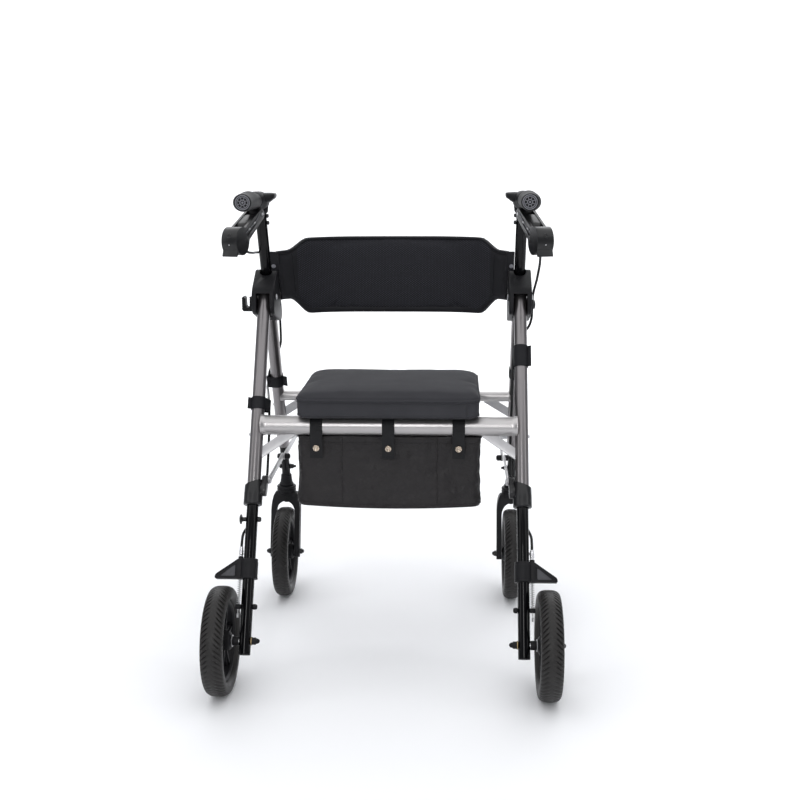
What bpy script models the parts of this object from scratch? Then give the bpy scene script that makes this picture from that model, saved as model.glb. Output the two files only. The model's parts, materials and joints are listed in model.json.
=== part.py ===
"""Four-wheel walker: a folding aluminium frame with a padded seat, a backrest, a bag and loop brakes.

Metres, +Z up. X points to the user's right and Y the way the walker rolls, so its user stands at -Y.
The origin is on the floor, under the middle of the walker.
"""

import math

import bmesh
import bpy
from mathutils import Matrix, Vector

# Clearances
GAP = 0.0003
RUNNING_GAP = 0.0004

# Wheels
WHEEL_RADIUS = 0.100
TYRE_DEPTH = 0.027
REAR_TYRE_WIDTH = 0.041
FRONT_TYRE_WIDTH = 0.036
RIM_WIDTH = 0.026
RIM_WALL = 0.006
HUB_RADIUS = 0.017
HUB_WIDTH = 0.040
SPOKE_COUNT = 6
SPOKE_WIDTH = 0.011
SPOKE_THICKNESS = 0.008
AXLE_RADIUS = 0.004
WHEEL_STEPS = 24
TYRE_POINTS = 8

# Stance
WHEELBASE = 0.515
LEG_X = 0.2555
TYRE_TO_SHOE = 0.0075
REAR_RAKE = math.radians(28.06)
LEGS_MEET_Z = 0.752
CASTER_TRAIL = 0.040
STEM_BEND_ABOVE_CROWN = 0.045
STEM_BEND_RADIUS = 0.070

# Tubes
LEG_RADIUS = 0.0127
LEG_WALL = 0.0013
POLE_RADIUS = 0.0111
POLE_WALL = 0.0014
FRONT_LOWER_RADIUS = 0.0095
TUBE_SIDES = 16
INNER_TUBE_SIDES = 12
PIN_SIDES = 8
HOLE_SIDES = 6

# Leg lengths, as heights along each leg's own line
FRONT_LEG_TOP_Z = 0.740
FRONT_LEG_END_Z = 0.346
FRONT_LEG_NECK = 0.012
REAR_LEG_END_Z = 0.335
REAR_LEG_PAST_PIN = 0.016
REAR_LOWER_BELOW_AXLE = 0.021
LOWER_LEG_TOP_Z = 0.466
LOWER_GUIDE_LENGTH = 0.020

# Height stops: a button on each lower leg stands in a slot that joins the leg's row of holes
BUTTON_Z = 0.447
BUTTON_RADIUS = 0.003
BUTTON_PROUD = 0.0025
HOLE_PITCH = 0.025
LEG_HOLES = 3

# Crossbars and their flat stays
REAR_BAR_Z = 0.464
REAR_BAR_RADIUS = 0.019
FRONT_BAR_Z = 0.469
FRONT_BAR_RADIUS = 0.011
BAR_WALL = 0.0015
STRIP_WIDTH = 0.019
STRIP_THICKNESS = 0.003
REAR_STRIP_DROP = 0.054
REAR_STRIP_REACH = 0.0705
FRONT_STRIP_DROP = 0.044
FRONT_STRIP_REACH = 0.0600

# Folding bracket
PIN_DROP = 0.052
PIN_RADIUS = 0.004
BRACKET_WIDTH = 0.045
BRACKET_CREST = 0.026
BRACKET_SOCKET = 0.0165
CHEEK_DROP = 0.017
CHEEK_RADIUS = 0.018
SWING_RADIUS = 0.022
SWING_MOUTH = 0.009
LEG_SLOT = 0.0277

# Handle height: a bolt through the bracket, the leg and a slot that joins the pole's row of holes
HANDLE_BOLT_Z = 0.678
BOLT_RADIUS = 0.003
KNOB_RADIUS = 0.0095
KNOB_THICKNESS = 0.005
CANE_BOLT_Z = 0.300
POLE_HOLES_ABOVE = 3
POLE_HOLES_BELOW = 1
POLE_BELOW_BOLT = 0.100
POLE_END_DROP = 0.019
HEAD_SCREW_DROPS = (0.012, 0.027)
HEAD_SCREW_RADIUS = 0.0025

# Leg collars and the folding side stays
COLLAR_RADIUS = 0.01775
COLLAR_END_Z = 0.324
COLLAR_LENGTH = 0.046
LUG_AHEAD = 0.0145
STAY_Z = 0.364
FRONT_STAY_Z = 0.372
ELBOW_SHARE = 0.488
STAY_INSET = 0.0265
STAY_PITCH = 0.0040
STAY_WIDTH = 0.014
STAY_THICKNESS = 0.003
STUD_RADIUS = 0.004
STUD_HEAD = 0.0065
ELBOW_CAP = 0.006
ELBOW_CAP_OUTWARDS = 0.009
ELBOW_CAP_INWARDS = 0.011

# Brakes
SHOE_CLEARANCE = 0.0135
SHOE_LENGTH = 0.0375
SHOE_RADIUS = 0.0165
SHOE_REACH = 0.0625
SHOE_DEPTH = 0.018
SHOE_BOSS = 0.0045
SPRING_BOLT_RISE = 0.055
SPRING_OFFSET = 0.0165
SPRING_RADIUS = 0.0034
SPRING_WIRE = 0.0005
SPRING_CURLS = 9
CABLE_RADIUS = 0.0025
CABLE_WIRE = 0.0008
CABLE_SPACING = 0.014
BARREL_RADIUS = 0.0042
BARREL_LENGTH = 0.018

# Casters
FORK_CLEARANCE = 0.0015
FORK_ARM = 0.011
FORK_DEPTH = 0.026
CROWN_CLEARANCE = 0.032
RING_RADIUS = 0.0215
RING_HEIGHT = 0.0125
STEM_RADIUS = 0.006
STEM_HEIGHT = 0.040
BELL_RADIUS = 0.0155
BELL_HEIGHT = 0.026
HOUSING_BOLT_ABOVE_BEND = 0.013

# Handles
GRIP_OUTSET = 0.0045
GRIP_Z = 0.891
GRIP_LENGTH = 0.119
GRIP_BEHIND_POLE = 0.0471
CORE_RADIUS = 0.011
LEVER_DROP = 0.025
LEVER_BEHIND_POLE = 0.0371
LEVER_SPLAY = math.radians(17.0)
LEVER_REACH = 0.0973
LEVER_WIDTH = 0.031
LEVER_SLOT = 0.021
LEVER_PIN_RADIUS = 0.003
WING_REACH = 0.033

# Seat, backrest and bag
SEAT_HALF_WIDTH = 0.1735
SEAT_BEHIND_BAR = 0.0580
SEAT_SHORT_OF_BAR = 0.0211
SEAT_ABOVE_BAR = 0.004
SADDLE_X = 0.120
BOARD_THICKNESS = 0.010
CUSHION_THICKNESS = 0.0347
CUSHION_CORNER = 0.030
BACKREST_BOW = 0.109
BACKREST_Z = 0.7325
BACKREST_HALF_HEIGHT = 0.080
NECK_HALF_HEIGHT = 0.047
BACKREST_THICKNESS = 0.016
BAG_HALF_WIDTH = 0.176
BAG_BEHIND_BAR = 0.0145
BAG_SHORT_OF_BAR = 0.0186
BAG_BOTTOM_Z = 0.306
BAG_CORNER = 0.016

# Places worked out from the sizes above
REAR_AXLE_Y = -WHEELBASE / 2
FRONT_AXLE_Y = WHEELBASE / 2
REAR_WHEEL_X = LEG_X + SHOE_RADIUS + TYRE_TO_SHOE + max(REAR_TYRE_WIDTH, HUB_WIDTH) / 2
FORK_HALF_WIDTH = max(FRONT_TYRE_WIDTH, HUB_WIDTH) / 2 + FORK_CLEARANCE + FORK_ARM
CROWN_Z = 2 * WHEEL_RADIUS + CROWN_CLEARANCE
STEM_TOP_Z = CROWN_Z + STEM_HEIGHT
STEM_BEND_Z = CROWN_Z + STEM_BEND_ABOVE_CROWN
HOUSING_BOLT_Z = STEM_BEND_Z + HOUSING_BOLT_ABOVE_BEND
STEM_Y = FRONT_AXLE_Y + CASTER_TRAIL
REAR_SLOPE = math.tan(REAR_RAKE)
MEET_Y = REAR_AXLE_Y + (LEGS_MEET_Z - WHEEL_RADIUS) * REAR_SLOPE
FRONT_SLOPE = (STEM_Y - MEET_Y) / (LEGS_MEET_Z - STEM_BEND_Z)
REAR_UP = Vector((0, REAR_SLOPE, 1)).normalized()
FRONT_UP = Vector((0, -FRONT_SLOPE, 1)).normalized()
PIN_Z = LEGS_MEET_Z - PIN_DROP
LEG_BORE = LEG_RADIUS - LEG_WALL
POLE_BORE = POLE_RADIUS - POLE_WALL
ACROSS = Vector((1, 0, 0))
UPWARD = Vector((0, 0, 1))
SIDES = {"left": -1, "right": 1}


def on_rear_leg(height, x=0.0):
    """The point of the rear legs' centre line at this height."""
    return Vector((x, REAR_AXLE_Y + (height - WHEEL_RADIUS) * REAR_SLOPE, height))


def on_front_leg(height, x=0.0):
    """The point of the front legs' and poles' centre line at this height."""
    return Vector((x, MEET_Y - (height - LEGS_MEET_Z) * FRONT_SLOPE, height))


def up_rear_leg(distance, x=0.0):
    """The point of the rear legs' centre line this far above the rear axle, measured along the leg."""
    return Vector((x, REAR_AXLE_Y, WHEEL_RADIUS)) + REAR_UP * distance


PIN = on_rear_leg(PIN_Z)
HANDLE_BOLT = on_front_leg(HANDLE_BOLT_Z)
STAY_PIVOT = on_rear_leg(STAY_Z) + Vector((0, LUG_AHEAD, 0))
FRONT_STAY_PIVOT = on_front_leg(FRONT_STAY_Z)
ELBOW = STAY_PIVOT.lerp(FRONT_STAY_PIVOT, ELBOW_SHARE)
REAR_STAY_X = LEG_X - STAY_INSET
REAR_LOWER_END_Z = WHEEL_RADIUS - REAR_LOWER_BELOW_AXLE
SHOE_BOTTOM = WHEEL_RADIUS + SHOE_CLEARANCE
SPRING_BOLT_UP = SPRING_BOLT_RISE / REAR_UP.z
WIRE_X = LEG_X + SPRING_OFFSET
POLE_TOP_Z = GRIP_Z - POLE_END_DROP
POLE_TOP_Y = on_front_leg(POLE_TOP_Z).y
GRIP_X = LEG_X + GRIP_OUTSET
GRIP_FRONT_Y = POLE_TOP_Y - GRIP_BEHIND_POLE
GRIP_END_Y = GRIP_FRONT_Y - GRIP_LENGTH
LEVER_PIVOT = Vector((GRIP_X, POLE_TOP_Y - LEVER_BEHIND_POLE, GRIP_Z - LEVER_DROP))
REAR_BAR_Y = on_rear_leg(REAR_BAR_Z).y
FRONT_BAR_Y = on_front_leg(FRONT_BAR_Z).y
SEAT_Z = REAR_BAR_Z + REAR_BAR_RADIUS + SEAT_ABOVE_BAR
SEAT_BACK_Y = REAR_BAR_Y - SEAT_BEHIND_BAR
SEAT_FRONT_Y = FRONT_BAR_Y - SEAT_SHORT_OF_BAR
CUSHION_BOTTOM_Z = SEAT_Z + BOARD_THICKNESS + GAP
BAG_BACK_Y = REAR_BAR_Y - BAG_BEHIND_BAR
BAG_FRONT_Y = FRONT_BAR_Y - BAG_SHORT_OF_BAR
BACKREST_Y = on_front_leg(BACKREST_Z).y + BACKREST_BOW


def clear_scene():
    for thing in list(bpy.data.objects):
        bpy.data.objects.remove(thing, do_unlink=True)


def collection(name):
    made = bpy.data.collections.new(name)
    bpy.context.scene.collection.children.link(made)
    return made


clear_scene()
WALKER = collection("four_wheel_walker")
CUTTERS = collection("cutters")


def material(name, colour, roughness, metallic=0.0):
    made = bpy.data.materials.new(name)
    made.use_nodes = True
    shader = made.node_tree.nodes["Principled BSDF"]
    shader.inputs["Base Color"].default_value = (*colour, 1.0)
    shader.inputs["Roughness"].default_value = roughness
    shader.inputs["Metallic"].default_value = metallic
    made.diffuse_color = (*colour, 1.0)
    return made


TITANIUM = material("titanium_lacquer", (0.46, 0.43, 0.45), 0.32, 0.9)
BARE_STRIP = material("pale_aluminium", (0.80, 0.79, 0.82), 0.40, 0.9)
BLACK_TUBE = material("black_lacquer", (0.010, 0.010, 0.012), 0.18)
BLACK_PLASTIC = material("black_plastic", (0.025, 0.025, 0.028), 0.45)
STEEL = material("zinc_steel", (0.55, 0.55, 0.57), 0.30, 1.0)
RUBBER = material("tyre_rubber", (0.030, 0.030, 0.032), 0.75)
GRIP_RUBBER = material("grip_rubber", (0.045, 0.045, 0.050), 0.60)
LEATHERETTE = material("seat_leatherette", (0.040, 0.040, 0.045), 0.50)
MESH_FABRIC = material("backrest_mesh", (0.020, 0.020, 0.024), 0.85)
BAG_CLOTH = material("bag_cloth", (0.032, 0.030, 0.034), 0.70)


def add(name, mesh, finish=None, smooth=40):
    """A named part, or a hidden helper where it has no finish."""
    made = bpy.data.objects.new(name, mesh)
    if finish is None:
        CUTTERS.objects.link(made)
        made.hide_render = True
        made.display_type = "WIRE"
        return made
    WALKER.objects.link(made)
    mesh.materials.clear()
    mesh.materials.append(finish)
    mesh.shade_smooth()
    mesh.set_sharp_from_angle(angle=math.radians(smooth))
    return made


def mesh_of(name, shape):
    bmesh.ops.recalc_face_normals(shape, faces=shape.faces)
    mesh = bpy.data.meshes.new(name)
    shape.to_mesh(mesh)
    shape.free()
    return mesh


def facing(origin, axis, first=ACROSS):
    """The matrix that stands a piece at origin, its Z along axis and its X towards first."""
    upward = Vector(axis).normalized()
    sideways = (Vector(first) - upward * upward.dot(first)).normalized()
    turn = Matrix((sideways, upward.cross(sideways), upward)).transposed()
    return Matrix.Translation(origin) @ turn.to_4x4()


def turned(name, profile, origin, axis, finish=None, steps=TUBE_SIDES, ring=False, first=ACROSS):
    """A turned piece: the profile's (radius, height) points run down its outer side."""
    mesh = bpy.data.meshes.new(name)
    count = len(profile)
    edges = [(index, index + 1) for index in range(count - 1)]
    if ring:
        edges.append((count - 1, 0))
    mesh.from_pydata([(radius, 0, height) for radius, height in profile], edges, [])
    made = add(name, mesh, finish)
    screw = made.modifiers.new("turn", "SCREW")
    screw.steps = screw.render_steps = steps
    screw.use_merge_vertices = True
    screw.merge_threshold = 0.00001
    screw.use_smooth_shade = True
    made.matrix_world = facing(origin, axis, first)
    return made


def solid_profile(radius, low, high):
    return [(0, high), (radius, high), (radius, low), (0, low)]


def ring_profile(outer, inner, low, high):
    return [(outer, high), (outer, low), (inner, low), (inner, high)]


def rod(name, start, end, radius, finish=None, steps=PIN_SIDES, first=None):
    """A solid round bar between two points."""
    along = Vector(end) - Vector(start)
    sideways = first or (ACROSS if abs(along.normalized().x) < 0.9 else UPWARD)
    profile = solid_profile(radius, 0, along.length)
    return turned(name, profile, start, along, finish, steps, first=sideways)


def hole(name, middle, reach, radius, sides=HOLE_SIDES):
    """A cutter through middle, whose flats clear a pin of this radius."""
    return rod(name, middle - reach, middle + reach, (radius + GAP) / math.cos(math.pi / sides), steps=sides)


def discs_hull(name, discs, low, high, finish=None, place=None, count=12):
    """A plate between X low and high, stretched round discs given as (y, z, radius)."""
    shape = bmesh.new()
    for y, z, radius in discs:
        for step in range(count):
            angle = 2 * math.pi * (step + 0.5) / count
            for x in (low, high):
                shape.verts.new((x, y + radius * math.cos(angle), z + radius * math.sin(angle)))
    hull = bmesh.ops.convex_hull(shape, input=shape.verts)
    spare = hull["geom_interior"] + hull["geom_unused"]
    inside = list({part for part in spare if isinstance(part, bmesh.types.BMVert)})
    bmesh.ops.delete(shape, geom=inside, context="VERTS")
    bmesh.ops.dissolve_limit(shape, angle_limit=0.02, verts=shape.verts, edges=shape.edges)
    mesh = mesh_of(name, shape)
    if place:
        mesh.transform(place)
    return add(name, mesh, finish)


def box(name, low, high, finish=None, place=None):
    shape = bmesh.new()
    low, high = Vector(low), Vector(high)
    middle = Matrix.Translation((low + high) / 2) @ Matrix.Diagonal((*(high - low), 1))
    bmesh.ops.create_cube(shape, size=1, matrix=(place or Matrix.Identity(4)) @ middle)
    return add(name, mesh_of(name, shape), finish)


def loft(name, rings, finish=None, place=None):
    """A closed skin over rings of points, each with as many points as the last."""
    shape = bmesh.new()
    rows = [[shape.verts.new(point) for point in ring] for ring in rings]
    count = len(rows[0])
    for near, far in zip(rows, rows[1:]):
        for index in range(count):
            after = (index + 1) % count
            shape.faces.new((near[index], near[after], far[after], far[index]))
    shape.faces.new(rows[0][::-1])
    shape.faces.new(rows[-1])
    mesh = mesh_of(name, shape)
    if place:
        mesh.transform(place)
    return add(name, mesh, finish)


def outline_slab(name, outline, low, high, finish=None, place=None):
    """A slab between Y low and high with a flat outline of (x, z) points."""
    rings = [[(x, y, z) for x, z in outline] for y in (low, high)]
    return loft(name, rings, finish, place)


def combine(target, operation, *tools):
    """Joins tools to a part, or cuts them from it."""
    for tool in tools:
        step = target.modifiers.new(operation.lower(), "BOOLEAN")
        step.operation = operation
        step.object = tool
    return target


def bevelled(target, width, segments=2, angle=40):
    edge = target.modifiers.new("soft_edges", "BEVEL")
    edge.width = width
    edge.segments = segments
    edge.limit_method = "ANGLE"
    edge.angle_limit = math.radians(angle)
    return target


def mesh_of_curve(name, curve, finish):
    """The curve's tube as a welded mesh, so that it can be cut and joined."""
    helper = bpy.data.objects.new(name + "_line", curve)
    CUTTERS.objects.link(helper)
    bpy.context.view_layer.update()
    evaluated = helper.evaluated_get(bpy.context.evaluated_depsgraph_get())
    mesh = bpy.data.meshes.new_from_object(evaluated)
    place = helper.matrix_world.copy()
    bpy.data.objects.remove(helper, do_unlink=True)
    shape = bmesh.new()
    shape.from_mesh(mesh)
    bmesh.ops.remove_doubles(shape, verts=shape.verts, dist=0.00001)
    shape.to_mesh(mesh)
    shape.free()
    made = add(name, mesh, finish)
    made.matrix_world = place
    return made


def tube_curve(name, points, radius, scales=None, resolution=2):
    """A round tube along points, which scales may make thicker or thinner at each point."""
    curve = bpy.data.curves.new(name, "CURVE")
    curve.dimensions = "3D"
    curve.bevel_depth = radius
    curve.bevel_resolution = resolution
    curve.use_fill_caps = True
    line = curve.splines.new("POLY")
    line.points.add(len(points) - 1)
    for index, point in enumerate(points):
        line.points[index].co = (*point, 1)
        line.points[index].radius = scales[index] if scales else 1.0
    return curve


def mirrored_x(point, side):
    return Vector((point[0] * side, point[1], point[2]))


# Wheels


def tyre_profile(width):
    """A tyre's section, squarer than an oval, with a flat tread and a flat seat on the rim."""
    middle = WHEEL_RADIUS - TYRE_DEPTH / 2
    square = 0.6
    full = math.cos(math.pi / TYRE_POINTS) ** square
    points = []
    for step in range(TYRE_POINTS):
        angle = 2 * math.pi * (step + 0.5) / TYRE_POINTS
        across, out = math.cos(angle), math.sin(angle)
        height = math.copysign(abs(across) ** square, across) / full * width / 2
        points.append((middle + math.copysign(abs(out) ** square, out) / full * TYRE_DEPTH / 2, height))
    return points


def wheel_facing(centre, side):
    """Wheels turn about X, with a flat of their facets on the floor."""
    half_step = math.pi / WHEEL_STEPS
    return centre, (side, 0, 0), Vector((0, math.sin(half_step), -math.cos(half_step)))


def tyre(name, centre, side, width):
    facet = 1 / math.cos(math.pi / WHEEL_STEPS)
    profile = [(radius * facet, height) for radius, height in tyre_profile(width)]
    origin, axis, first = wheel_facing(centre, side)
    return turned(name, profile, origin, axis, RUBBER, WHEEL_STEPS, ring=True, first=first)


def rim_mesh():
    """One rim with its spokes and hub, for all four wheels."""
    outer = WHEEL_RADIUS - TYRE_DEPTH - GAP
    half = RIM_WIDTH / 2
    seat = ring_profile(outer, outer - RIM_WALL, -half, half)
    rim = turned("rim_form", seat, (0, 0, 0), UPWARD, None, WHEEL_STEPS, ring=True)
    hub = ring_profile(HUB_RADIUS, AXLE_RADIUS + RUNNING_GAP, -HUB_WIDTH / 2, HUB_WIDTH / 2)
    tools = [turned("hub_form", hub, (0, 0, 0), UPWARD, None, 12, ring=True)]
    for index in range(SPOKE_COUNT):
        turn = Matrix.Rotation(2 * math.pi * (index + 0.5) / SPOKE_COUNT, 4, "Z")
        low = (HUB_RADIUS - 0.004, -SPOKE_WIDTH / 2, -SPOKE_THICKNESS / 2)
        high = (outer - RIM_WALL / 2, SPOKE_WIDTH / 2, SPOKE_THICKNESS / 2)
        tools.append(box(f"spoke_form_{index}", low, high, None, turn))
    combine(rim, "UNION", *tools)
    bpy.context.view_layer.update()
    mesh = bpy.data.meshes.new_from_object(rim.evaluated_get(bpy.context.evaluated_depsgraph_get()))
    for form in (rim, *tools):
        bpy.data.objects.remove(form, do_unlink=True)
    return mesh


RIM_MESH = rim_mesh()


def rim(name, centre, side):
    made = add(name, RIM_MESH.copy(), BLACK_PLASTIC)
    made.matrix_world = facing(*wheel_facing(centre, side))
    return made


def cap_nut(outward, radius=0.0068, length=0.014):
    """The profile of a hexagon nut with a domed end, whose seat is at height outward."""
    return [
        (0, outward + length),
        (radius * 0.45, outward + length - 0.0012),
        (radius * 0.75, outward + length * 0.55),
        (radius, outward + length * 0.45),
        (radius, outward),
    ]


def cap_nut_below(outward, radius=0.0068, length=0.014):
    """The same nut on the lower end of a turned profile."""
    return [(size, -height) for size, height in reversed(cap_nut(-outward, radius, length))]


def rear_wheel(name, side):
    centre = Vector((side * REAR_WHEEL_X, REAR_AXLE_Y, WHEEL_RADIUS))
    tyre(f"rear_tyre_{name}", centre, side, REAR_TYRE_WIDTH)
    rim(f"rear_rim_{name}", centre, side)
    tube_face = LEG_X + POLE_RADIUS + GAP - REAR_WHEEL_X
    hub_face = HUB_WIDTH / 2 + GAP
    inner_nut = tube_face - 2 * (POLE_RADIUS + GAP)
    sleeve = 0.0085
    profile = cap_nut(hub_face, 0.0068, 0.0115)
    profile += [(AXLE_RADIUS, hub_face), (AXLE_RADIUS, -hub_face)]
    profile += [(sleeve, -hub_face), (sleeve, tube_face), (AXLE_RADIUS, tube_face), (AXLE_RADIUS, inner_nut)]
    profile += cap_nut_below(inner_nut, 0.0068, 0.015)
    turned(f"rear_axle_{name}", profile, centre, (side, 0, 0), STEEL, PIN_SIDES, first=UPWARD)


def front_wheel(name, side):
    centre = Vector((side * LEG_X, FRONT_AXLE_Y, WHEEL_RADIUS))
    tyre(f"front_tyre_{name}", centre, side, FRONT_TYRE_WIDTH)
    rim(f"front_rim_{name}", centre, side)
    face = FORK_HALF_WIDTH + GAP
    profile = cap_nut(face, 0.0062, 0.010) + [(AXLE_RADIUS, face), (AXLE_RADIUS, -face)]
    profile += cap_nut_below(-face, 0.0062, 0.010)
    turned(f"front_axle_{name}", profile, centre, (side, 0, 0), STEEL, PIN_SIDES, first=UPWARD)


# Legs, crossbars and folding brackets


def slot(name, start, end, low, high, radius):
    """A cutter between X low and high, along which a pin of this radius slides from start to end."""
    clear = (radius + GAP) / math.cos(math.pi / PIN_SIDES)
    return discs_hull(name, [(point.y, point.z, clear) for point in (start, end)], *sorted((low, high)),
                      count=PIN_SIDES)


def button_slot(name, start, leg_up, side):
    """The slot in a leg's outer wall, from the button's place down to its lowest one."""
    end = start - leg_up * (LEG_HOLES - 1) * HOLE_PITCH
    return slot(f"{name}_button_slot", start, end, side * (LEG_X + LEG_RADIUS / 2),
                side * (LEG_X + LEG_RADIUS * 2), BUTTON_RADIUS)


def front_leg(name, side):
    """The leg, necked in at its foot round the lower leg, with the stud of the side stay on it."""
    x = side * LEG_X
    foot, head = on_front_leg(FRONT_LEG_END_Z, x), on_front_leg(FRONT_LEG_TOP_Z, x)
    length = (head - foot).length
    leg = turned(f"front_leg_{name}", solid_profile(LEG_RADIUS, 0, length), foot, FRONT_UP, TITANIUM)
    combine(leg, "UNION", stud(f"{name}_front_stud", FRONT_STAY_PIVOT, side, LEG_X - 0.008,
                               REAR_STAY_X - STAY_PITCH, STUD_HEAD))
    neck = FRONT_LOWER_RADIUS + GAP
    bore = [
        (0, 2 * length), (LEG_BORE, 2 * length), (LEG_BORE, FRONT_LEG_NECK), (neck, FRONT_LEG_NECK),
        (neck, -length), (0, -length),
    ]
    bolt = HANDLE_BOLT + ACROSS * x
    reach = ACROSS * BRACKET_WIDTH
    combine(
        leg, "DIFFERENCE",
        turned(f"{name}_front_leg_bore", bore, foot, FRONT_UP),
        hole(f"{name}_leg_bolt_hole", bolt, reach, BOLT_RADIUS),
        button_slot(f"front_{name}", on_front_leg(BUTTON_Z, x), FRONT_UP, side),
    )


def stud(name, pivot, side, root_x, plane_x, boss=None):
    """A headed stud through the stay whose middle plane is plane_x, rooted at root_x."""
    low, high = plane_x - STAY_THICKNESS / 2 - GAP, plane_x + STAY_THICKNESS / 2 + GAP
    root = root_x - low
    profile = [(0, root), (boss, root), (boss, high - low), (STUD_RADIUS, high - low)] if boss else [
        (0, root), (STUD_RADIUS, root),
    ]
    profile += [(STUD_RADIUS, 0), (STUD_HEAD, 0), (STUD_HEAD, -0.0016), (STUD_HEAD * 0.6, -0.0028), (0, -0.0028)]
    origin = Vector((side * low, pivot.y, pivot.z))
    return turned(name, profile, origin, (side, 0, 0), None, PIN_SIDES, first=UPWARD)


def rear_leg(name, side):
    x = side * LEG_X
    foot = on_rear_leg(REAR_LEG_END_Z, x)
    length = (on_rear_leg(PIN_Z, x) - foot).length + REAR_LEG_PAST_PIN
    profile = ring_profile(LEG_RADIUS, LEG_BORE, 0, length)
    leg = turned(f"rear_leg_{name}", profile, foot, REAR_UP, TITANIUM, ring=True)
    pin = PIN + ACROSS * x
    reach = ACROSS * 2 * LEG_RADIUS
    combine(
        leg, "DIFFERENCE",
        hole(f"{name}_leg_pin_hole", pin, reach, PIN_RADIUS, PIN_SIDES),
        button_slot(f"rear_{name}", on_rear_leg(BUTTON_Z, x), REAR_UP, side),
    )


def crossbar(name, on_leg, leg_up, height, radius, drop, reach):
    """A bar between two legs, coped round them, with a flat strip welded up to it at each end."""
    end = LEG_X - radius * 0.42
    centre = on_leg(height)
    bar = turned(name, solid_profile(radius, -end, end), centre, ACROSS, TITANIUM, first=UPWARD)
    strips, legs = [], []
    for label, side in SIDES.items():
        low = on_leg(height - drop, side * (LEG_X - 0.003))
        high = on_leg(height - radius * 0.60, side * (LEG_X - reach))
        along = high - low
        normal = ACROSS.cross(leg_up)
        place = facing(low, along, normal)
        half = (STRIP_THICKNESS / 2, STRIP_WIDTH / 2)
        strips.append(box(f"{name}_strip_{label}", (-half[0], -half[1], 0), (*half, along.length), None, place))
        foot, head = on_leg(height - 2 * drop, side * LEG_X), on_leg(height + 2 * drop, side * LEG_X)
        legs.append(rod(f"{name}_cope_{label}", foot, head, LEG_RADIUS + GAP, steps=TUBE_SIDES))
    bore = rod(f"{name}_bore", centre - ACROSS * LEG_X, centre + ACROSS * LEG_X, radius - BAR_WALL,
               steps=TUBE_SIDES, first=UPWARD)
    combine(bar, "UNION", *strips)
    combine(bar, "DIFFERENCE", *legs, bore)


def swing_cutter(name, side):
    """The space in a bracket in which the rear leg's head swings, open at the back and below."""
    mouth = math.asin(SWING_MOUTH / SWING_RADIUS)
    arc = [math.pi - mouth - (math.pi - mouth) * step / 10 for step in range(11)]
    section = [(SWING_RADIUS * math.cos(angle), SWING_RADIUS * math.sin(angle)) for angle in arc]
    deep, back = -3 * SWING_RADIUS, -2 * SWING_RADIUS
    section += [(SWING_RADIUS, deep), (back, deep), (back, SWING_MOUTH)]
    x = side * LEG_X
    half = LEG_SLOT / 2
    rings = [[(wall, PIN.y + y, PIN.z + z) for y, z in section] for wall in (x - half, x + half)]
    return loft(name, rings)


def bracket(name, side):
    """The moulding that holds the front leg and the pole, and carries the rear leg on its pin."""
    cheek = on_rear_leg(PIN_Z - CHEEK_DROP)
    low, high = on_front_leg(PIN_Z - 0.040), on_front_leg(PIN_Z + 0.035)
    discs = [
        (PIN.y, PIN.z, BRACKET_CREST),
        (cheek.y, cheek.z, CHEEK_RADIUS),
        (low.y, low.z, BRACKET_SOCKET),
        (high.y, high.z, BRACKET_SOCKET),
    ]
    x = side * LEG_X
    half = BRACKET_WIDTH / 2
    made = discs_hull(f"hinge_bracket_{name}", discs, x - half, x + half, BLACK_PLASTIC, count=10)
    bevelled(made, 0.0025, 1)
    bolt, pin, reach = HANDLE_BOLT + ACROSS * x, PIN + ACROSS * x, ACROSS * BRACKET_WIDTH
    combine(
        made, "DIFFERENCE",
        swing_cutter(f"{name}_swing_space", side),
        rod(f"{name}_leg_socket", on_front_leg(PIN_Z - 0.1, x), on_front_leg(PIN_Z + 0.1, x), LEG_RADIUS + GAP,
            steps=TUBE_SIDES),
        hole(f"{name}_pin_hole", pin, reach, PIN_RADIUS, PIN_SIDES),
        hole(f"{name}_bolt_hole", bolt, reach, BOLT_RADIUS),
    )
    inset = ACROSS * (half - 0.001)
    rod(f"fold_pin_{name}", pin - inset, pin + inset, PIN_RADIUS, STEEL)


# Collars and side stays


def collar(name, side):
    """The moulding round the end of a rear leg, with the lug that carries the side stay."""
    x = side * LEG_X
    foot = on_rear_leg(COLLAR_END_Z, x)
    shoulder = (REAR_LEG_END_Z - COLLAR_END_Z) / REAR_UP.z - GAP
    profile = [
        (COLLAR_RADIUS - 0.0015, COLLAR_LENGTH), (COLLAR_RADIUS, COLLAR_LENGTH - 0.004),
        (COLLAR_RADIUS, 0), (POLE_RADIUS + GAP, 0),
        (POLE_RADIUS + GAP, shoulder), (LEG_RADIUS + GAP, shoulder), (LEG_RADIUS + GAP, COLLAR_LENGTH),
    ]
    made = turned(f"leg_collar_{name}", profile, foot, REAR_UP, BLACK_PLASTIC, ring=True)
    root = on_rear_leg(STAY_Z - 0.014)
    discs = [(STAY_PIVOT.y, STAY_PIVOT.z, 0.009), (root.y, root.z, 0.012)]
    face = REAR_STAY_X + STAY_THICKNESS / 2 + GAP
    ends = sorted((side * face, side * (LEG_X - LEG_RADIUS - 0.0015)))
    lug = discs_hull(f"{name}_lug", discs, *ends, count=10)
    pin = stud(f"{name}_rear_stud", STAY_PIVOT, side, face + 0.004, REAR_STAY_X)
    combine(made, "UNION", lug, pin)


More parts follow.
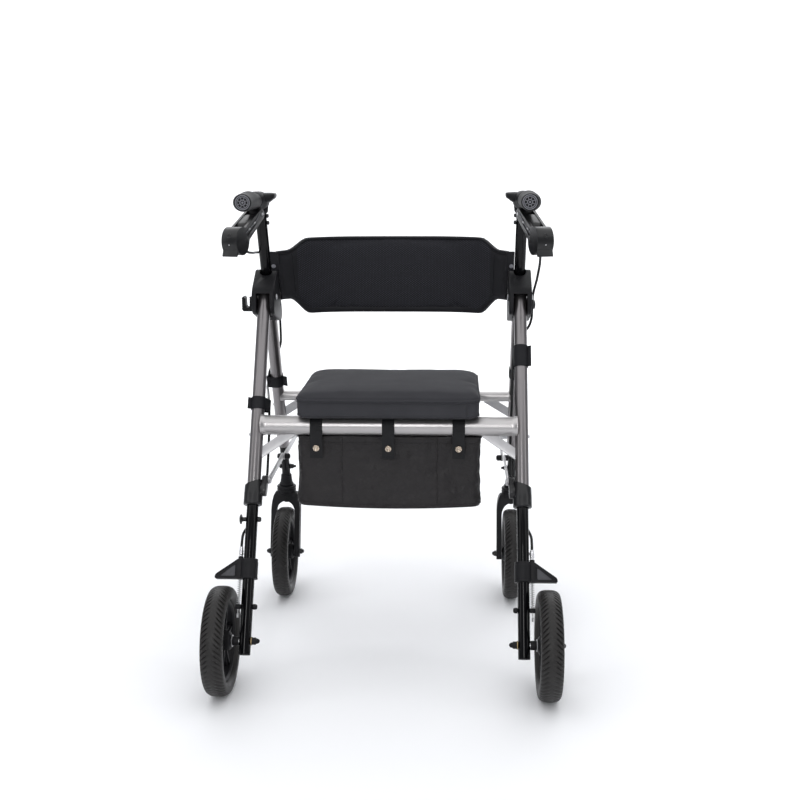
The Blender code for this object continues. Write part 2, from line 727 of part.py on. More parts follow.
def stay(name, pivot, plane, side, cap):
    """One flat link of a side stay, from its stud to the elbow in the plane at this X."""
    discs = [(point.y, point.z, STAY_WIDTH / 2) for point in (pivot, ELBOW)]
    ends = sorted((side * (plane - STAY_THICKNESS / 2), side * (plane + STAY_THICKNESS / 2)))
    made = discs_hull(name, discs, *ends, BARE_STRIP, None, 10)
    combine(made, "UNION", cap)
    middle = Vector((side * plane, pivot.y, pivot.z))
    reach = ACROSS * STAY_THICKNESS
    combine(made, "DIFFERENCE", hole(f"{name}_stud_hole", middle, reach, STUD_RADIUS, PIN_SIDES))


def elbow_cap(name, plane, side, outward, height):
    """The domed cap over the elbow's rivet, on the face of the link towards outward."""
    root, top = -STAY_THICKNESS / 2, STAY_THICKNESS / 2 + height
    profile = [
        (0, top), (ELBOW_CAP * 0.7, top), (ELBOW_CAP, top - 0.002), (ELBOW_CAP, 0), (ELBOW_CAP * 0.7, root / 2),
        (0, root / 2),
    ]
    middle = Vector((side * plane, ELBOW.y, ELBOW.z))
    return turned(name, profile, middle, (outward, 0, 0), None, PIN_SIDES, first=UPWARD)


def side_stay(name, side):
    """Two links that lock the frame open, and fold up at the elbow when it closes.

    The elbow is open between the links: each carries its own half of the rivet under a cap.
    """
    planes = {"rear": REAR_STAY_X, "front": REAR_STAY_X - STAY_PITCH}
    caps = {
        "rear": elbow_cap(f"{name}_outer_cap", planes["rear"], side, side, ELBOW_CAP_OUTWARDS),
        "front": elbow_cap(f"{name}_inner_cap", planes["front"], side, -side, ELBOW_CAP_INWARDS),
    }
    for end, pivot in (("rear", STAY_PIVOT), ("front", FRONT_STAY_PIVOT)):
        stay(f"{end}_stay_{name}", pivot, planes[end], side, caps[end])


# Lower legs


def leg_button(name, point, side):
    """The button's stem, from inside the lower leg's wall out through the leg's hole."""
    start = point + ACROSS * side * (POLE_RADIUS - POLE_WALL / 2)
    end = point + ACROSS * side * (LEG_RADIUS + BUTTON_PROUD)
    return rod(name, start, end, BUTTON_RADIUS, steps=HOLE_SIDES)


def rear_lower_leg(name, side):
    x = side * LEG_X
    foot, head = on_rear_leg(REAR_LOWER_END_Z, x), on_rear_leg(LOWER_LEG_TOP_Z, x)
    profile = ring_profile(POLE_RADIUS, POLE_BORE, 0, (head - foot).length)
    leg = turned(f"rear_lower_leg_{name}", profile, foot, REAR_UP, BLACK_TUBE, INNER_TUBE_SIDES, ring=True)
    combine(leg, "UNION", leg_button(f"{name}_rear_button", on_rear_leg(BUTTON_Z, x), side))
    reach = ACROSS * 2 * POLE_RADIUS
    axle, bolt = up_rear_leg(0, x), up_rear_leg(SPRING_BOLT_UP, x)
    cuts = [
        hole(f"{name}_axle_hole", axle, reach, AXLE_RADIUS),
        hole(f"{name}_spring_bolt_hole", bolt, reach, BOLT_RADIUS),
    ]
    if name == "left":
        cup = on_rear_leg(CANE_BOLT_Z, x)
        cuts.append(hole("cane_bolt_hole", cup, reach, BOLT_RADIUS))
    combine(leg, "DIFFERENCE", *cuts)


def spring_bolt(name, side):
    """The bolt that the brake spring rests on, with its sleeve outside the leg and its nut inside."""
    point = up_rear_leg(SPRING_BOLT_UP, side * LEG_X)
    face = POLE_RADIUS + GAP
    tip = SPRING_OFFSET + 0.005
    sleeve = 0.0045
    profile = [
        (0, tip), (sleeve, tip), (sleeve, face), (BOLT_RADIUS, face), (BOLT_RADIUS, -face),
        (0.0048, -face), (0.0048, -face - 0.006), (0.003, -face - 0.0085), (0, -face - 0.0085),
    ]
    bolt = turned(f"spring_bolt_{name}", profile, point, (side, 0, 0), BLACK_PLASTIC, PIN_SIDES, first=UPWARD)
    wire = up_rear_leg(SPRING_BOLT_UP, side * WIRE_X)
    combine(bolt, "DIFFERENCE", hole(f"{name}_wire_hole", wire, REAR_UP * 0.01, CABLE_WIRE))


def knob_profile(start, face, grip, nut):
    """A bolt with a round grip at its outer end and a cap nut at its inner one, as a turned profile."""
    return [
        (0, grip), (KNOB_RADIUS * 0.55, grip - 0.0008), (KNOB_RADIUS, grip - KNOB_THICKNESS * 0.45),
        (KNOB_RADIUS, grip - KNOB_THICKNESS * 0.75), (KNOB_RADIUS * 0.5, grip - KNOB_THICKNESS),
        (KNOB_RADIUS * 0.45, face), (BOLT_RADIUS, face), (BOLT_RADIUS, start), *nut,
    ]


def cane_bolt(side):
    """The knobbed bolt low on the left leg, where a cane's cup goes."""
    face = POLE_RADIUS + GAP
    nut = [(0.0045, -face), (0.0045, -face - 0.0045), (0.003, -face - 0.0065), (0, -face - 0.0065)]
    profile = knob_profile(-face, face, face + 0.0122, nut)
    point = on_rear_leg(CANE_BOLT_Z, side * LEG_X)
    turned("cane_cup_bolt", profile, point, (side, 0, 0), BLACK_PLASTIC, PIN_SIDES, first=UPWARD)


def bend_points():
    """The front lower leg's centre line: down the leg's own line, round the bend and straight down."""
    bend = Vector((0, STEM_Y, STEM_BEND_Z))
    angle = math.atan(FRONT_SLOPE)
    tangent = STEM_BEND_RADIUS * math.tan(angle / 2)
    start = bend + FRONT_UP * tangent
    centre_y = STEM_Y - STEM_BEND_RADIUS
    centre_z = STEM_BEND_Z - tangent
    points = [on_front_leg(LOWER_LEG_TOP_Z - 0.002), start]
    for step in range(1, 3):
        turn = angle * (1 - step / 3)
        points.append(Vector((0, centre_y + STEM_BEND_RADIUS * math.cos(turn),
                              centre_z + STEM_BEND_RADIUS * math.sin(turn))))
    points.append(Vector((0, STEM_Y, centre_z)))
    points.append(Vector((0, STEM_Y, CROWN_Z + RING_HEIGHT + GAP + 0.004)))
    return points


def front_lower_leg(name, side):
    """The lower leg with its guide in the leg above, and the bell in which the caster turns."""
    shift = ACROSS * side * LEG_X
    points = [point + shift for point in bend_points()]
    line = tube_curve("lower_leg", points, FRONT_LOWER_RADIUS, None, 3)
    leg = mesh_of_curve(f"front_lower_leg_{name}", line, BLACK_TUBE)
    top = on_front_leg(LOWER_LEG_TOP_Z, side * LEG_X)
    guide = turned(f"{name}_leg_guide", solid_profile(POLE_RADIUS, -LOWER_GUIDE_LENGTH, 0), top, FRONT_UP,
                   steps=INNER_TUBE_SIDES)
    bell_z = CROWN_Z + RING_HEIGHT + GAP
    profile = [
        (0, BELL_HEIGHT + 0.001), (FRONT_LOWER_RADIUS + 0.0004, BELL_HEIGHT + 0.001),
        (FRONT_LOWER_RADIUS + 0.0010, BELL_HEIGHT - 0.004), (BELL_RADIUS - 0.001, 0.003), (BELL_RADIUS, 0),
        (0, 0),
    ]
    bell = turned(f"{name}_bell", profile, shift + Vector((0, STEM_Y, bell_z)), UPWARD, None, 14)
    button = leg_button(f"{name}_front_button", on_front_leg(BUTTON_Z, side * LEG_X), side)
    combine(leg, "UNION", guide, bell, button)
    floor = shift + Vector((0, STEM_Y, bell_z - 0.001))
    roof = shift + Vector((0, STEM_Y, STEM_TOP_Z + GAP))
    bolt = on_front_leg(HOUSING_BOLT_Z, side * LEG_X)
    reach = ACROSS * 2 * FRONT_LOWER_RADIUS
    combine(leg, "DIFFERENCE",
            rod(f"{name}_stem_bore", floor, roof, STEM_RADIUS + RUNNING_GAP, steps=12),
            hole(f"{name}_housing_hole", bolt, reach, BOLT_RADIUS))
    face = FRONT_LOWER_RADIUS + GAP
    profile = [
        (0, face + 0.005), (0.0035, face + 0.005), (0.0055, face + 0.003), (0.0055, face), (BOLT_RADIUS, face),
        (BOLT_RADIUS, -face), (0.0055, -face), (0.0055, -face - 0.005), (0.0030, -face - 0.009),
        (0.0025, -face - 0.014), (0, -face - 0.014),
    ]
    turned(f"housing_bolt_{name}", profile, bolt, (side, 0, 0), BLACK_PLASTIC, PIN_SIDES, first=UPWARD)


# Casters


def caster_fork(name, side):
    """A moulded fork, raked back by the trail, with the crown ring and the stem that turns in the bell."""
    inner = FORK_HALF_WIDTH - FORK_ARM
    foot, shoulder = WHEEL_RADIUS - 0.014, CROWN_Z - 0.044
    narrow = RING_RADIUS - 0.001
    outside = [(FORK_HALF_WIDTH, foot)]
    for step in range(5):
        angle = math.pi / 2 * step / 4
        outside.append((narrow + (FORK_HALF_WIDTH - narrow) * math.cos(angle),
                        shoulder + (CROWN_Z - shoulder) * math.sin(angle)))
    turns = [math.pi / 2 * step / 4 for step in range(4)]
    inside = [(inner * math.cos(turn), shoulder - 0.003 + 0.0265 * math.sin(turn)) for turn in turns]
    outline = outside + [(-x, z) for x, z in reversed(outside)]
    arch = [(-inner, foot)] + [(-x, z) for x, z in inside] + [(0, shoulder + 0.0235)]
    arch += list(reversed(inside)) + [(inner, foot)]
    lean = Matrix.Identity(4)
    lean[1][2] = CASTER_TRAIL / (CROWN_Z - WHEEL_RADIUS)
    pivot = Vector((side * LEG_X, STEM_Y, CROWN_Z))
    place = Matrix.Translation(pivot) @ lean @ Matrix.Translation((0, 0, -CROWN_Z))
    half = FORK_DEPTH / 2
    fork = outline_slab(f"caster_fork_{name}", outline + arch, -half, half, BLACK_PLASTIC, place)
    bevelled(fork, 0.003, 1, 50)
    profile = [
        (0, STEM_TOP_Z - CROWN_Z), (STEM_RADIUS, STEM_TOP_Z - CROWN_Z), (STEM_RADIUS, RING_HEIGHT),
        (RING_RADIUS - 0.001, RING_HEIGHT), (RING_RADIUS, RING_HEIGHT - 0.002),
        (RING_RADIUS, 0), (0.008, -0.008), (0.008, -0.027), (0, -0.027),
    ]
    crown = turned(f"{name}_crown_ring", profile, pivot, UPWARD, None, 12)
    combine(fork, "UNION", crown)
    centre = Vector((side * LEG_X, FRONT_AXLE_Y, WHEEL_RADIUS))
    combine(fork, "DIFFERENCE", hole(f"{name}_fork_hole", centre, ACROSS * 2 * FORK_HALF_WIDTH, AXLE_RADIUS))


# Brakes


def shoe_place(side):
    """Shoe sizes run outwards in X, ahead of the leg in Y and up the leg in Z."""
    return facing(up_rear_leg(SHOE_BOTTOM, side * LEG_X), REAR_UP, ACROSS)


def brake_shoe(name, side):
    """A sleeve that slides on the leg, with a fin over the tyre and a hole for the brake wire."""
    place = shoe_place(side)
    profile = ring_profile(SHOE_RADIUS, POLE_RADIUS + RUNNING_GAP, 0, SHOE_LENGTH)
    shoe = turned(f"brake_shoe_{name}", profile, place.translation, REAR_UP, BLACK_PLASTIC, ring=True)
    root = POLE_RADIUS + 0.002
    outline = [
        (root, 0), (SHOE_REACH - 0.001, 0), (SHOE_REACH, 0.002), (SHOE_REACH - 0.001, 0.008),
        (0.0300, 0.0300), (0.0200, SHOE_LENGTH), (root, SHOE_LENGTH),
    ]
    half = SHOE_DEPTH / 2
    fin = outline_slab(f"{name}_fin", [(side * x, z) for x, z in outline], -half, half, None, place)
    pocket = [(0.0240, 0.0045), (0.0530, 0.0045), (0.0295, 0.0235), (0.0240, 0.0265)]
    pockets = [
        outline_slab(f"{name}_pocket_{label}", [(side * x, z) for x, z in pocket], low, low + 0.009, None, place)
        for label, low in (("back", -half - 0.002), ("front", half - 0.007))
    ]
    top = up_rear_leg(SHOE_BOTTOM + SHOE_LENGTH + SHOE_BOSS, side * WIRE_X)
    boss = rod(f"{name}_cable_boss", up_rear_leg(SHOE_BOTTOM + SHOE_LENGTH / 2, side * WIRE_X), top, 0.0048)
    combine(shoe, "UNION", fin, boss)
    middle = up_rear_leg(SHOE_BOTTOM + SHOE_LENGTH / 2, side * WIRE_X)
    bore = hole(f"{name}_shoe_wire_hole", middle, REAR_UP * SHOE_LENGTH, CABLE_WIRE)
    combine(shoe, "DIFFERENCE", bore, *pockets)


def least_gap(points, wire, turn):
    """The least clear distance between stretches of a coil that are a turn apart or more."""
    nearest = min(
        (points[i] - points[j]).length
        for i in range(len(points)) for j in range(i + turn // 2 + 1, len(points))
    )
    return nearest - 2 * wire


def brake_spring(name, side):
    """The return spring round the brake wire, from the bolt's sleeve up to the shoe."""
    low = SPRING_BOLT_UP + 0.0045 + GAP
    high = SHOE_BOTTOM - GAP
    ends = 2 * SPRING_WIRE
    per_turn = 8
    count = SPRING_CURLS * per_turn
    climb = high - low - 2 * ends
    place = facing(up_rear_leg(low, side * WIRE_X), REAR_UP, ACROSS)
    helix = []
    for step in range(count + 1):
        angle = 2 * math.pi * step / per_turn
        helix.append(Vector((SPRING_RADIUS * math.cos(angle), SPRING_RADIUS * math.sin(angle),
                             ends + climb * step / count)))
    gap = least_gap(helix, SPRING_WIRE, per_turn)
    print(f"brake spring {name}: least gap between curls {gap * 1000:.2f} mm")
    first = helix[0] - Vector((0, 0, ends))
    last = helix[-1] + Vector((0, 0, ends))
    points = [place @ point for point in [first, *helix, last]]
    add_curve(f"brake_spring_{name}", tube_curve(f"spring_{name}", points, SPRING_WIRE, None, 1), STEEL)


def add_curve(name, curve, finish):
    made = bpy.data.objects.new(name, curve)
    WALKER.objects.link(made)
    curve.materials.append(finish)
    return made


LEFT_ROUTE = [
    (0.2716, -0.0377, 0.8450), (0.2775, -0.0290, 0.8150), (0.2790, 0.0045, 0.7950), (0.2755, 0.0530, 0.7880),
    (0.2730, 0.0800, 0.7870), (0.2610, 0.1030, 0.7840), (0.2480, 0.1280, 0.7650), (0.2400, 0.1480, 0.7250),
    (0.2385, 0.1540, 0.6833), (0.2403, 0.1610, 0.6406), (0.2420, 0.1760, 0.6100), (0.2450, 0.1880, 0.5850),
    (0.2575, 0.1990, 0.5550), (0.2712, 0.1970, 0.5250), (0.2728, 0.1890, 0.5050), (0.2715, 0.1650, 0.4970),
    (0.2620, 0.1120, 0.5000), (0.2480, 0.0325, 0.5050), (0.2378, -0.0255, 0.5000),
]
RIGHT_ROUTE = [
    (0.2716, -0.0377, 0.8450), (0.2820, -0.0290, 0.8150), (0.2890, -0.0075, 0.7840), (0.2870, 0.0375, 0.7400),
    (0.2822, 0.0775, 0.7030), (0.2818, 0.0940, 0.6700), (0.2812, 0.0945, 0.6540), (0.2760, 0.0905, 0.6380),
    (0.2640, 0.0800, 0.6250), (0.2520, 0.0500, 0.6120), (0.2425, 0.0175, 0.5920), (0.2390, -0.0075, 0.5600),
    (0.2380, -0.0245, 0.5250), (0.2376, -0.0320, 0.4950),
]
LOWER_ROUTE = [
    (0.2365, -0.0350, 0.4650), (0.2320, -0.0640, 0.4180), (0.2335, -0.0770, 0.3900), (0.2352, -0.0840, 0.3700),
    (0.2375, -0.0880, 0.3580), (0.2420, -0.1000, 0.3400), (0.2500, -0.1145, 0.3200), (0.2560, -0.1270, 0.2980),
    (0.2655, -0.1420, 0.2830), (0.2712, -0.1590, 0.2740),
]


def smooth_route(points, spacing):
    """Points about this far apart on the smooth curve through the route's own points."""
    spans = [(end - start).length for start, end in zip(points, points[1:])]
    aims = [(points[1] - points[0]) / spans[0]]
    for index in range(1, len(spans)):
        aims.append((points[index + 1] - points[index - 1]) / (spans[index - 1] + spans[index]))
    aims.append((points[-1] - points[-2]) / spans[-1])
    read = []
    for index, span in enumerate(spans):
        count = max(1, round(span / spacing))
        for step in range(count):
            t = step / count
            near, far = 2 * t**3 - 3 * t**2 + 1, 3 * t**2 - 2 * t**3
            leave, arrive = (t**3 - 2 * t**2 + t) * span, (t**3 - t**2) * span
            place = points[index] * near + points[index + 1] * far
            read.append(place + aims[index] * leave + aims[index + 1] * arrive)
    return [*read, points[-1]]


def brake_cable(name, side, upper_route):
    """The cable in its black housing, then its barrel on the shoe, and its bare wire down to the end stop."""
    boss = SHOE_BOTTOM + SHOE_LENGTH + SHOE_BOSS
    barrel_top = boss + GAP + BARREL_LENGTH
    route = [mirrored_x(point, side) for point in upper_route + LOWER_ROUTE]
    route += [up_rear_leg(barrel_top + straight, side * WIRE_X) for straight in (4 * CABLE_RADIUS, 0.0005)]
    points = smooth_route(route, CABLE_SPACING)
    sizes = [CABLE_RADIUS] * len(points)
    stations = [
        (barrel_top, BARREL_RADIUS), (boss + GAP + 0.0005, BARREL_RADIUS), (boss + GAP, CABLE_WIRE),
        (SPRING_BOLT_UP - 0.0120, CABLE_WIRE), (SPRING_BOLT_UP - 0.0125, 2.4 * CABLE_WIRE),
        (SPRING_BOLT_UP - 0.0200, 2.4 * CABLE_WIRE),
    ]
    for up, size in stations:
        points.append(up_rear_leg(up, side * WIRE_X))
        sizes.append(size)
    scales = [size / CABLE_RADIUS for size in sizes]
    add_curve(f"brake_cable_{name}", tube_curve(f"cable_{name}", points, CABLE_RADIUS, scales, 2), BLACK_PLASTIC)


# Handles


def handle_pole(name, side):
    x = side * LEG_X
    bolt = HANDLE_BOLT + ACROSS * x
    foot = bolt - FRONT_UP * POLE_BELOW_BOLT
    head = on_front_leg(POLE_TOP_Z, x)
    profile = ring_profile(POLE_RADIUS, POLE_BORE, 0, (head - foot).length)
    pole = turned(f"handle_pole_{name}", profile, foot, FRONT_UP, BLACK_TUBE, INNER_TUBE_SIDES, ring=True)
    reach = ACROSS * 2 * POLE_RADIUS
    lowest = bolt - FRONT_UP * POLE_HOLES_BELOW * HOLE_PITCH
    highest = bolt + FRONT_UP * POLE_HOLES_ABOVE * HOLE_PITCH
    cuts = [slot(f"{name}_pole_slot", lowest, highest, x - 2 * POLE_RADIUS, x + 2 * POLE_RADIUS, BOLT_RADIUS)]
    for index, drop in enumerate(HEAD_SCREW_DROPS):
        middle = head - FRONT_UP * drop - ACROSS * side * POLE_RADIUS
        cuts.append(hole(f"{name}_screw_hole_{index}", middle, reach / 4, HEAD_SCREW_RADIUS))
    combine(pole, "DIFFERENCE", *cuts)


def oval(centre, half_width, half_height, count=10):
    """A ring of points round the Y direction."""
    x, y, z = centre
    turns = [2 * math.pi * step / count for step in range(count)]
    return [(x + half_width * math.cos(turn), y, z + half_height * math.sin(turn)) for turn in turns]


def lever_place(side):
    """Lever sizes run back from the pivot in -Y, splayed outwards."""
    return Matrix.Translation(mirrored_x(LEVER_PIVOT, side)) @ Matrix.Rotation(side * LEVER_SPLAY, 4, "Z")


def handle_head(name, side):
    """The moulding on top of the pole: its plug, the core of the grip, the thumb wing and the lever's boss."""
    pole_top = on_front_leg(POLE_TOP_Z, side * LEG_X)
    crown = pole_top + FRONT_UP * 0.006
    x = side * LEG_X
    rings = [
        oval((side * GRIP_X, GRIP_FRONT_Y + GAP, GRIP_Z), 0.0165, 0.0155),
        oval((side * (GRIP_X - 0.001), GRIP_FRONT_Y + 0.010, GRIP_Z + 0.001), 0.0185, 0.0170),
        oval((x, crown.y - 0.010, GRIP_Z - 0.0005), 0.0195, 0.0185),
        oval((x, crown.y + 0.008, GRIP_Z - 0.0020), 0.0175, 0.0165),
        oval((x, crown.y + 0.019, GRIP_Z - 0.0030), 0.0100, 0.0095),
    ]
    head = loft(f"handle_head_{name}", rings, BLACK_PLASTIC)
    seat = rod(f"{name}_pole_seat", pole_top - FRONT_UP * 0.03, pole_top + FRONT_UP * GAP, POLE_RADIUS + GAP,
               steps=INNER_TUBE_SIDES)
    combine(head, "DIFFERENCE", seat)
    plug = rod(f"{name}_head_plug", pole_top - FRONT_UP * 0.036, crown, POLE_BORE - GAP, steps=INNER_TUBE_SIDES)
    core = rod(f"{name}_grip_core", Vector((side * GRIP_X, GRIP_END_Y + 0.014, GRIP_Z)),
               Vector((side * GRIP_X, GRIP_FRONT_Y + 0.006, GRIP_Z)), CORE_RADIUS)
    wing = thumb_wing(name, side, crown)
    place = lever_place(side)
    half = LEVER_SLOT / 2 - GAP
    boss = discs_hull(f"{name}_lever_boss", [(0, 0, 0.0085), (0.010, 0.016, 0.010)], -half, half, None, place)
    pin_reach = LEVER_WIDTH / 2 + 0.0015
    pin = rod(f"{name}_lever_pin", place @ Vector((-pin_reach, 0, 0)), place @ Vector((pin_reach, 0, 0)),
              LEVER_PIN_RADIUS)
    screws = []
    for index, drop in enumerate(HEAD_SCREW_DROPS):
        point = pole_top - FRONT_UP * drop
        face = POLE_RADIUS + GAP
        profile = [
            (0, face + 0.0045), (0.0028, face + 0.0045), (0.0040, face + 0.0030), (0.0040, face),
            (HEAD_SCREW_RADIUS, face), (HEAD_SCREW_RADIUS, 0.004), (0, 0.004),
        ]
        screw = turned(f"{name}_head_screw_{index}", profile, point, (-side, 0, 0), None, PIN_SIDES, first=UPWARD)
        screws.append(screw)
    combine(head, "UNION", plug, core, wing, boss, pin, *screws)


def thumb_wing(name, side, crown):
    """The flat wing that reaches inwards from the head."""
    tip = LEG_X - WING_REACH
    sections = [
        (LEG_X + 0.004, 0.026, 0.0115, -0.0005), (LEG_X - 0.0115, 0.024, 0.0095, 0.0015),
        (tip + 0.004, 0.018, 0.0042, 0.0065), (tip, 0.014, 0.0022, 0.0068),
    ]
    rings = []
    for x, half_length, half_height, lift in sections:
        y, z = crown.y - 0.010, GRIP_Z + 0.0045 + lift
        ring = []
        for step in range(8):
            angle = 2 * math.pi * (step + 0.5) / 8
            ring.append((side * x, y + half_length * math.cos(angle), z + half_height * math.sin(angle)))
        rings.append(ring)
    return loft(f"{name}_thumb_wing", rings)


def grip(name, side):
    """The rubber grip: fuller under the palm on its outer side, with a cap at its end."""
    stations = [
        (0.0000, 0.0130, 0.0130, 0.0000, 0.0000), (0.0015, 0.0158, 0.0153, 0.0003, 0.0000),
        (0.0060, 0.0168, 0.0160, 0.0008, 0.0000), (0.0220, 0.0190, 0.0168, 0.0028, -0.0005),
        (0.0450, 0.0198, 0.0172, 0.0030, 0.0002), (0.0680, 0.0185, 0.0180, 0.0015, 0.0018),
        (0.0880, 0.0172, 0.0172, 0.0005, 0.0012), (0.1080, 0.0165, 0.0158, 0.0000, 0.0003),
        (GRIP_FRONT_Y - GRIP_END_Y, 0.0158, 0.0150, 0.0000, 0.0000),
    ]
    rings = [
        oval((side * (GRIP_X + outward), GRIP_END_Y + ahead, GRIP_Z + lift), half_width, half_height)
        for ahead, half_width, half_height, outward, lift in stations
    ]
    made = loft(f"grip_{name}", rings, GRIP_RUBBER)
    bore = rod(f"{name}_grip_bore", Vector((side * GRIP_X, GRIP_END_Y + 0.014 - GAP, GRIP_Z)),
               Vector((side * GRIP_X, GRIP_FRONT_Y + 0.01, GRIP_Z)), CORE_RADIUS + GAP)
    combine(made, "DIFFERENCE", bore)


def brake_lever(name, side):
    """A loop of two cheeks and a curved end, which the fingers pull up towards the grip."""
    place = lever_place(side)
    half = LEVER_WIDTH / 2
    arms = [(0, 0, 0.0100), (-LEVER_REACH + 0.018, -0.043, 0.0150)]
    band = [(-LEVER_REACH, -0.034, 0.012), (-LEVER_REACH, -0.060, 0.012), (-LEVER_REACH + 0.016, -0.046, 0.016)]
    lever = discs_hull(f"brake_lever_{name}", arms, -half, half, BLACK_PLASTIC, place)
    end = discs_hull(f"{name}_lever_end", band, -half, half, None, place)
    combine(lever, "UNION", end)
    bevelled(lever, 0.003, 1, 50)
    gap = LEVER_SLOT / 2
    inside = box(f"{name}_lever_gap", (-gap, -LEVER_REACH - 0.003, -0.1), (gap, 0.05, 0.1), None, place)
    reach = Vector((LEVER_WIDTH, 0, 0))
    middle = place.translation
    bore = hole(f"{name}_lever_pin_hole", middle, place @ reach - middle, LEVER_PIN_RADIUS, PIN_SIDES)
    combine(lever, "DIFFERENCE", inside, bore)


def handle_bolts():
    """The right bolt has a knob. The left one ends in the cane clip."""
    half = BRACKET_WIDTH / 2
    inner = -half + 0.001
    right = knob_profile(inner, half + GAP, half + 0.0125, [(0, inner)])
    turned("handle_knob_right", right, HANDLE_BOLT + ACROSS * LEG_X, ACROSS, BLACK_PLASTIC, PIN_SIDES, first=UPWARD)
    left = solid_profile(BOLT_RADIUS, inner, half + 0.008)
    turned("handle_bolt_left", left, HANDLE_BOLT - ACROSS * LEG_X, -ACROSS, STEEL, PIN_SIDES, first=UPWARD)


def cane_clip():
    """A moulded clip on the left bracket, open at the top, that holds a cane's shaft."""
    face = LEG_X + BRACKET_WIDTH / 2 + GAP
    outline = [
        (face, -0.014), (face + 0.0300, -0.014), (face + 0.0325, -0.011), (face + 0.0325, 0.015),
        (face + 0.0300, 0.0175), (face + 0.0255, 0.0135), (face + 0.0255, -0.002), (face + 0.0225, -0.006),
        (face + 0.0195, -0.006), (face + 0.0165, -0.002), (face + 0.0165, 0.0165), (face, 0.0165),
    ]
    place = Matrix.Translation((0, HANDLE_BOLT.y, HANDLE_BOLT.z))
    clip = outline_slab("cane_clip", [(-x, z) for x, z in outline], -0.013, 0.013, BLACK_PLASTIC, place)
    reach = ACROSS * 0.009
    combine(clip, "DIFFERENCE", hole("clip_bolt_hole", HANDLE_BOLT - ACROSS * face, reach, BOLT_RADIUS))


# Seat, backrest and bag


def seat_board():
    """The board under the cushion, hinged round the front bar by two saddles and resting on the rear one."""
    inset = 0.008
    low = (-SEAT_HALF_WIDTH + inset, SEAT_BACK_Y + inset, SEAT_Z)
    high = (SEAT_HALF_WIDTH - inset, SEAT_FRONT_Y - inset, SEAT_Z + BOARD_THICKNESS)
    board = box("seat_board", low, high, BLACK_PLASTIC)
    hinge = on_front_leg(FRONT_BAR_Z)
    tools = []
    for label, side in SIDES.items():
        x = side * SADDLE_X
        discs = [(hinge.y, hinge.z, FRONT_BAR_RADIUS + 0.005), (hinge.y - 0.030, SEAT_Z + 0.003, 0.004)]
        tools.append(discs_hull(f"seat_saddle_{label}", discs, x - 0.012, x + 0.012, count=10))
        bar_top = REAR_BAR_Z + REAR_BAR_RADIUS + GAP
        foot_top = (x + 0.015, REAR_BAR_Y + 0.010, SEAT_Z + 0.002)
        tools.append(box(f"seat_foot_{label}", (x - 0.015, REAR_BAR_Y - 0.010, bar_top), foot_top))
    combine(board, "UNION", *tools)
    reach = ACROSS * SEAT_HALF_WIDTH
    combine(board, "DIFFERENCE", rod("seat_hinge_bore", hinge - reach, hinge + reach, FRONT_BAR_RADIUS + GAP,
                                     steps=TUBE_SIDES, first=UPWARD))


def rounded_ring(half_width, half_length, corner, middle_y, z, per_corner=4, per_side=5):
    """A rectangle with round corners, with the same number of points whatever its size."""
    ring = []
    corners = [(1, 1, 0), (-1, 1, 90), (-1, -1, 180), (1, -1, 270)]
    for sign_x, sign_y, start in corners:
        cx, cy = sign_x * (half_width - corner), sign_y * (half_length - corner)
        arc = []
        for step in range(per_corner + 1):
            angle = math.radians(start + 90 * step / per_corner)
            arc.append(Vector((cx + corner * math.cos(angle), middle_y + cy + corner * math.sin(angle), z)))
        if ring:
            ring += [ring[-1].lerp(arc[0], step / per_side) for step in range(1, per_side)]
        ring += arc
    ring += [ring[-1].lerp(ring[0], step / per_side) for step in range(1, per_side)]
    return ring


def seat_cushion():
    """A boxed cushion: a crowned top, welts at both edges and a side wall that draws in between them."""
    half_length = (SEAT_FRONT_Y - SEAT_BACK_Y) / 2
    middle = (SEAT_FRONT_Y + SEAT_BACK_Y) / 2
    levels = [
        (0.0030, 0.00), (0.0000, 0.05), (0.0012, 0.14), (0.0030, 0.36), (0.0012, 0.58),
        (0.0000, 0.68), (0.0022, 0.76), (0.0090, 0.87), (0.0280, 0.945), (0.0700, 0.990),
    ]
    rings = []
    for inset, share in levels:
        corner = max(CUSHION_CORNER - inset * 0.25, 0.012)
        z = CUSHION_BOTTOM_Z + share * CUSHION_THICKNESS
        rings.append(rounded_ring(SEAT_HALF_WIDTH - inset, half_length - inset, corner, middle, z))
    return loft("seat_cushion", rings, LEATHERETTE)


def backrest_section(share):
    """Half the backrest's height at a share of the way from its middle to its end, and its middle's height."""
    shoulder, neck = 0.80, 0.955
    t = min(max((share - shoulder) / (neck - shoulder), 0.0), 1.0)
    blend = t * t * (3 - 2 * t)
    return BACKREST_HALF_HEIGHT + (NECK_HALF_HEIGHT - BACKREST_HALF_HEIGHT) * blend, BACKREST_Z - 0.005 * blend


def backrest():
    """A padded strap that bows forwards between the brackets and narrows to a neck at each."""
    end_x = LEG_X - BRACKET_WIDTH / 2 - GAP
    columns = 16
    rings = []
    for column in range(columns + 1):
        share = 2 * column / columns - 1
        share = math.copysign(abs(share) ** 0.8, share)
        half_height, middle = backrest_section(abs(share))
        y = BACKREST_Y - BACKREST_BOW * abs(share) ** 4
        lean = -FRONT_SLOPE * abs(share) ** 4
        thick = BACKREST_THICKNESS / 2 * (1 - 0.45 * abs(share) ** 4)
        edge = 0.003
        ring = []
        for face in (-1, 1):
            for row in (-1.0, -0.93, -0.4, 0.4, 0.93, 1.0):
                height = row * -face * half_height
                depth = face * (edge if abs(row) == 1 else thick * (0.72 if abs(row) > 0.9 else 1.0))
                ring.append((share * end_x, y + lean * height + depth, middle + height))
        rings.append(ring)
    return loft("backrest_pad", rings, MESH_FABRIC)


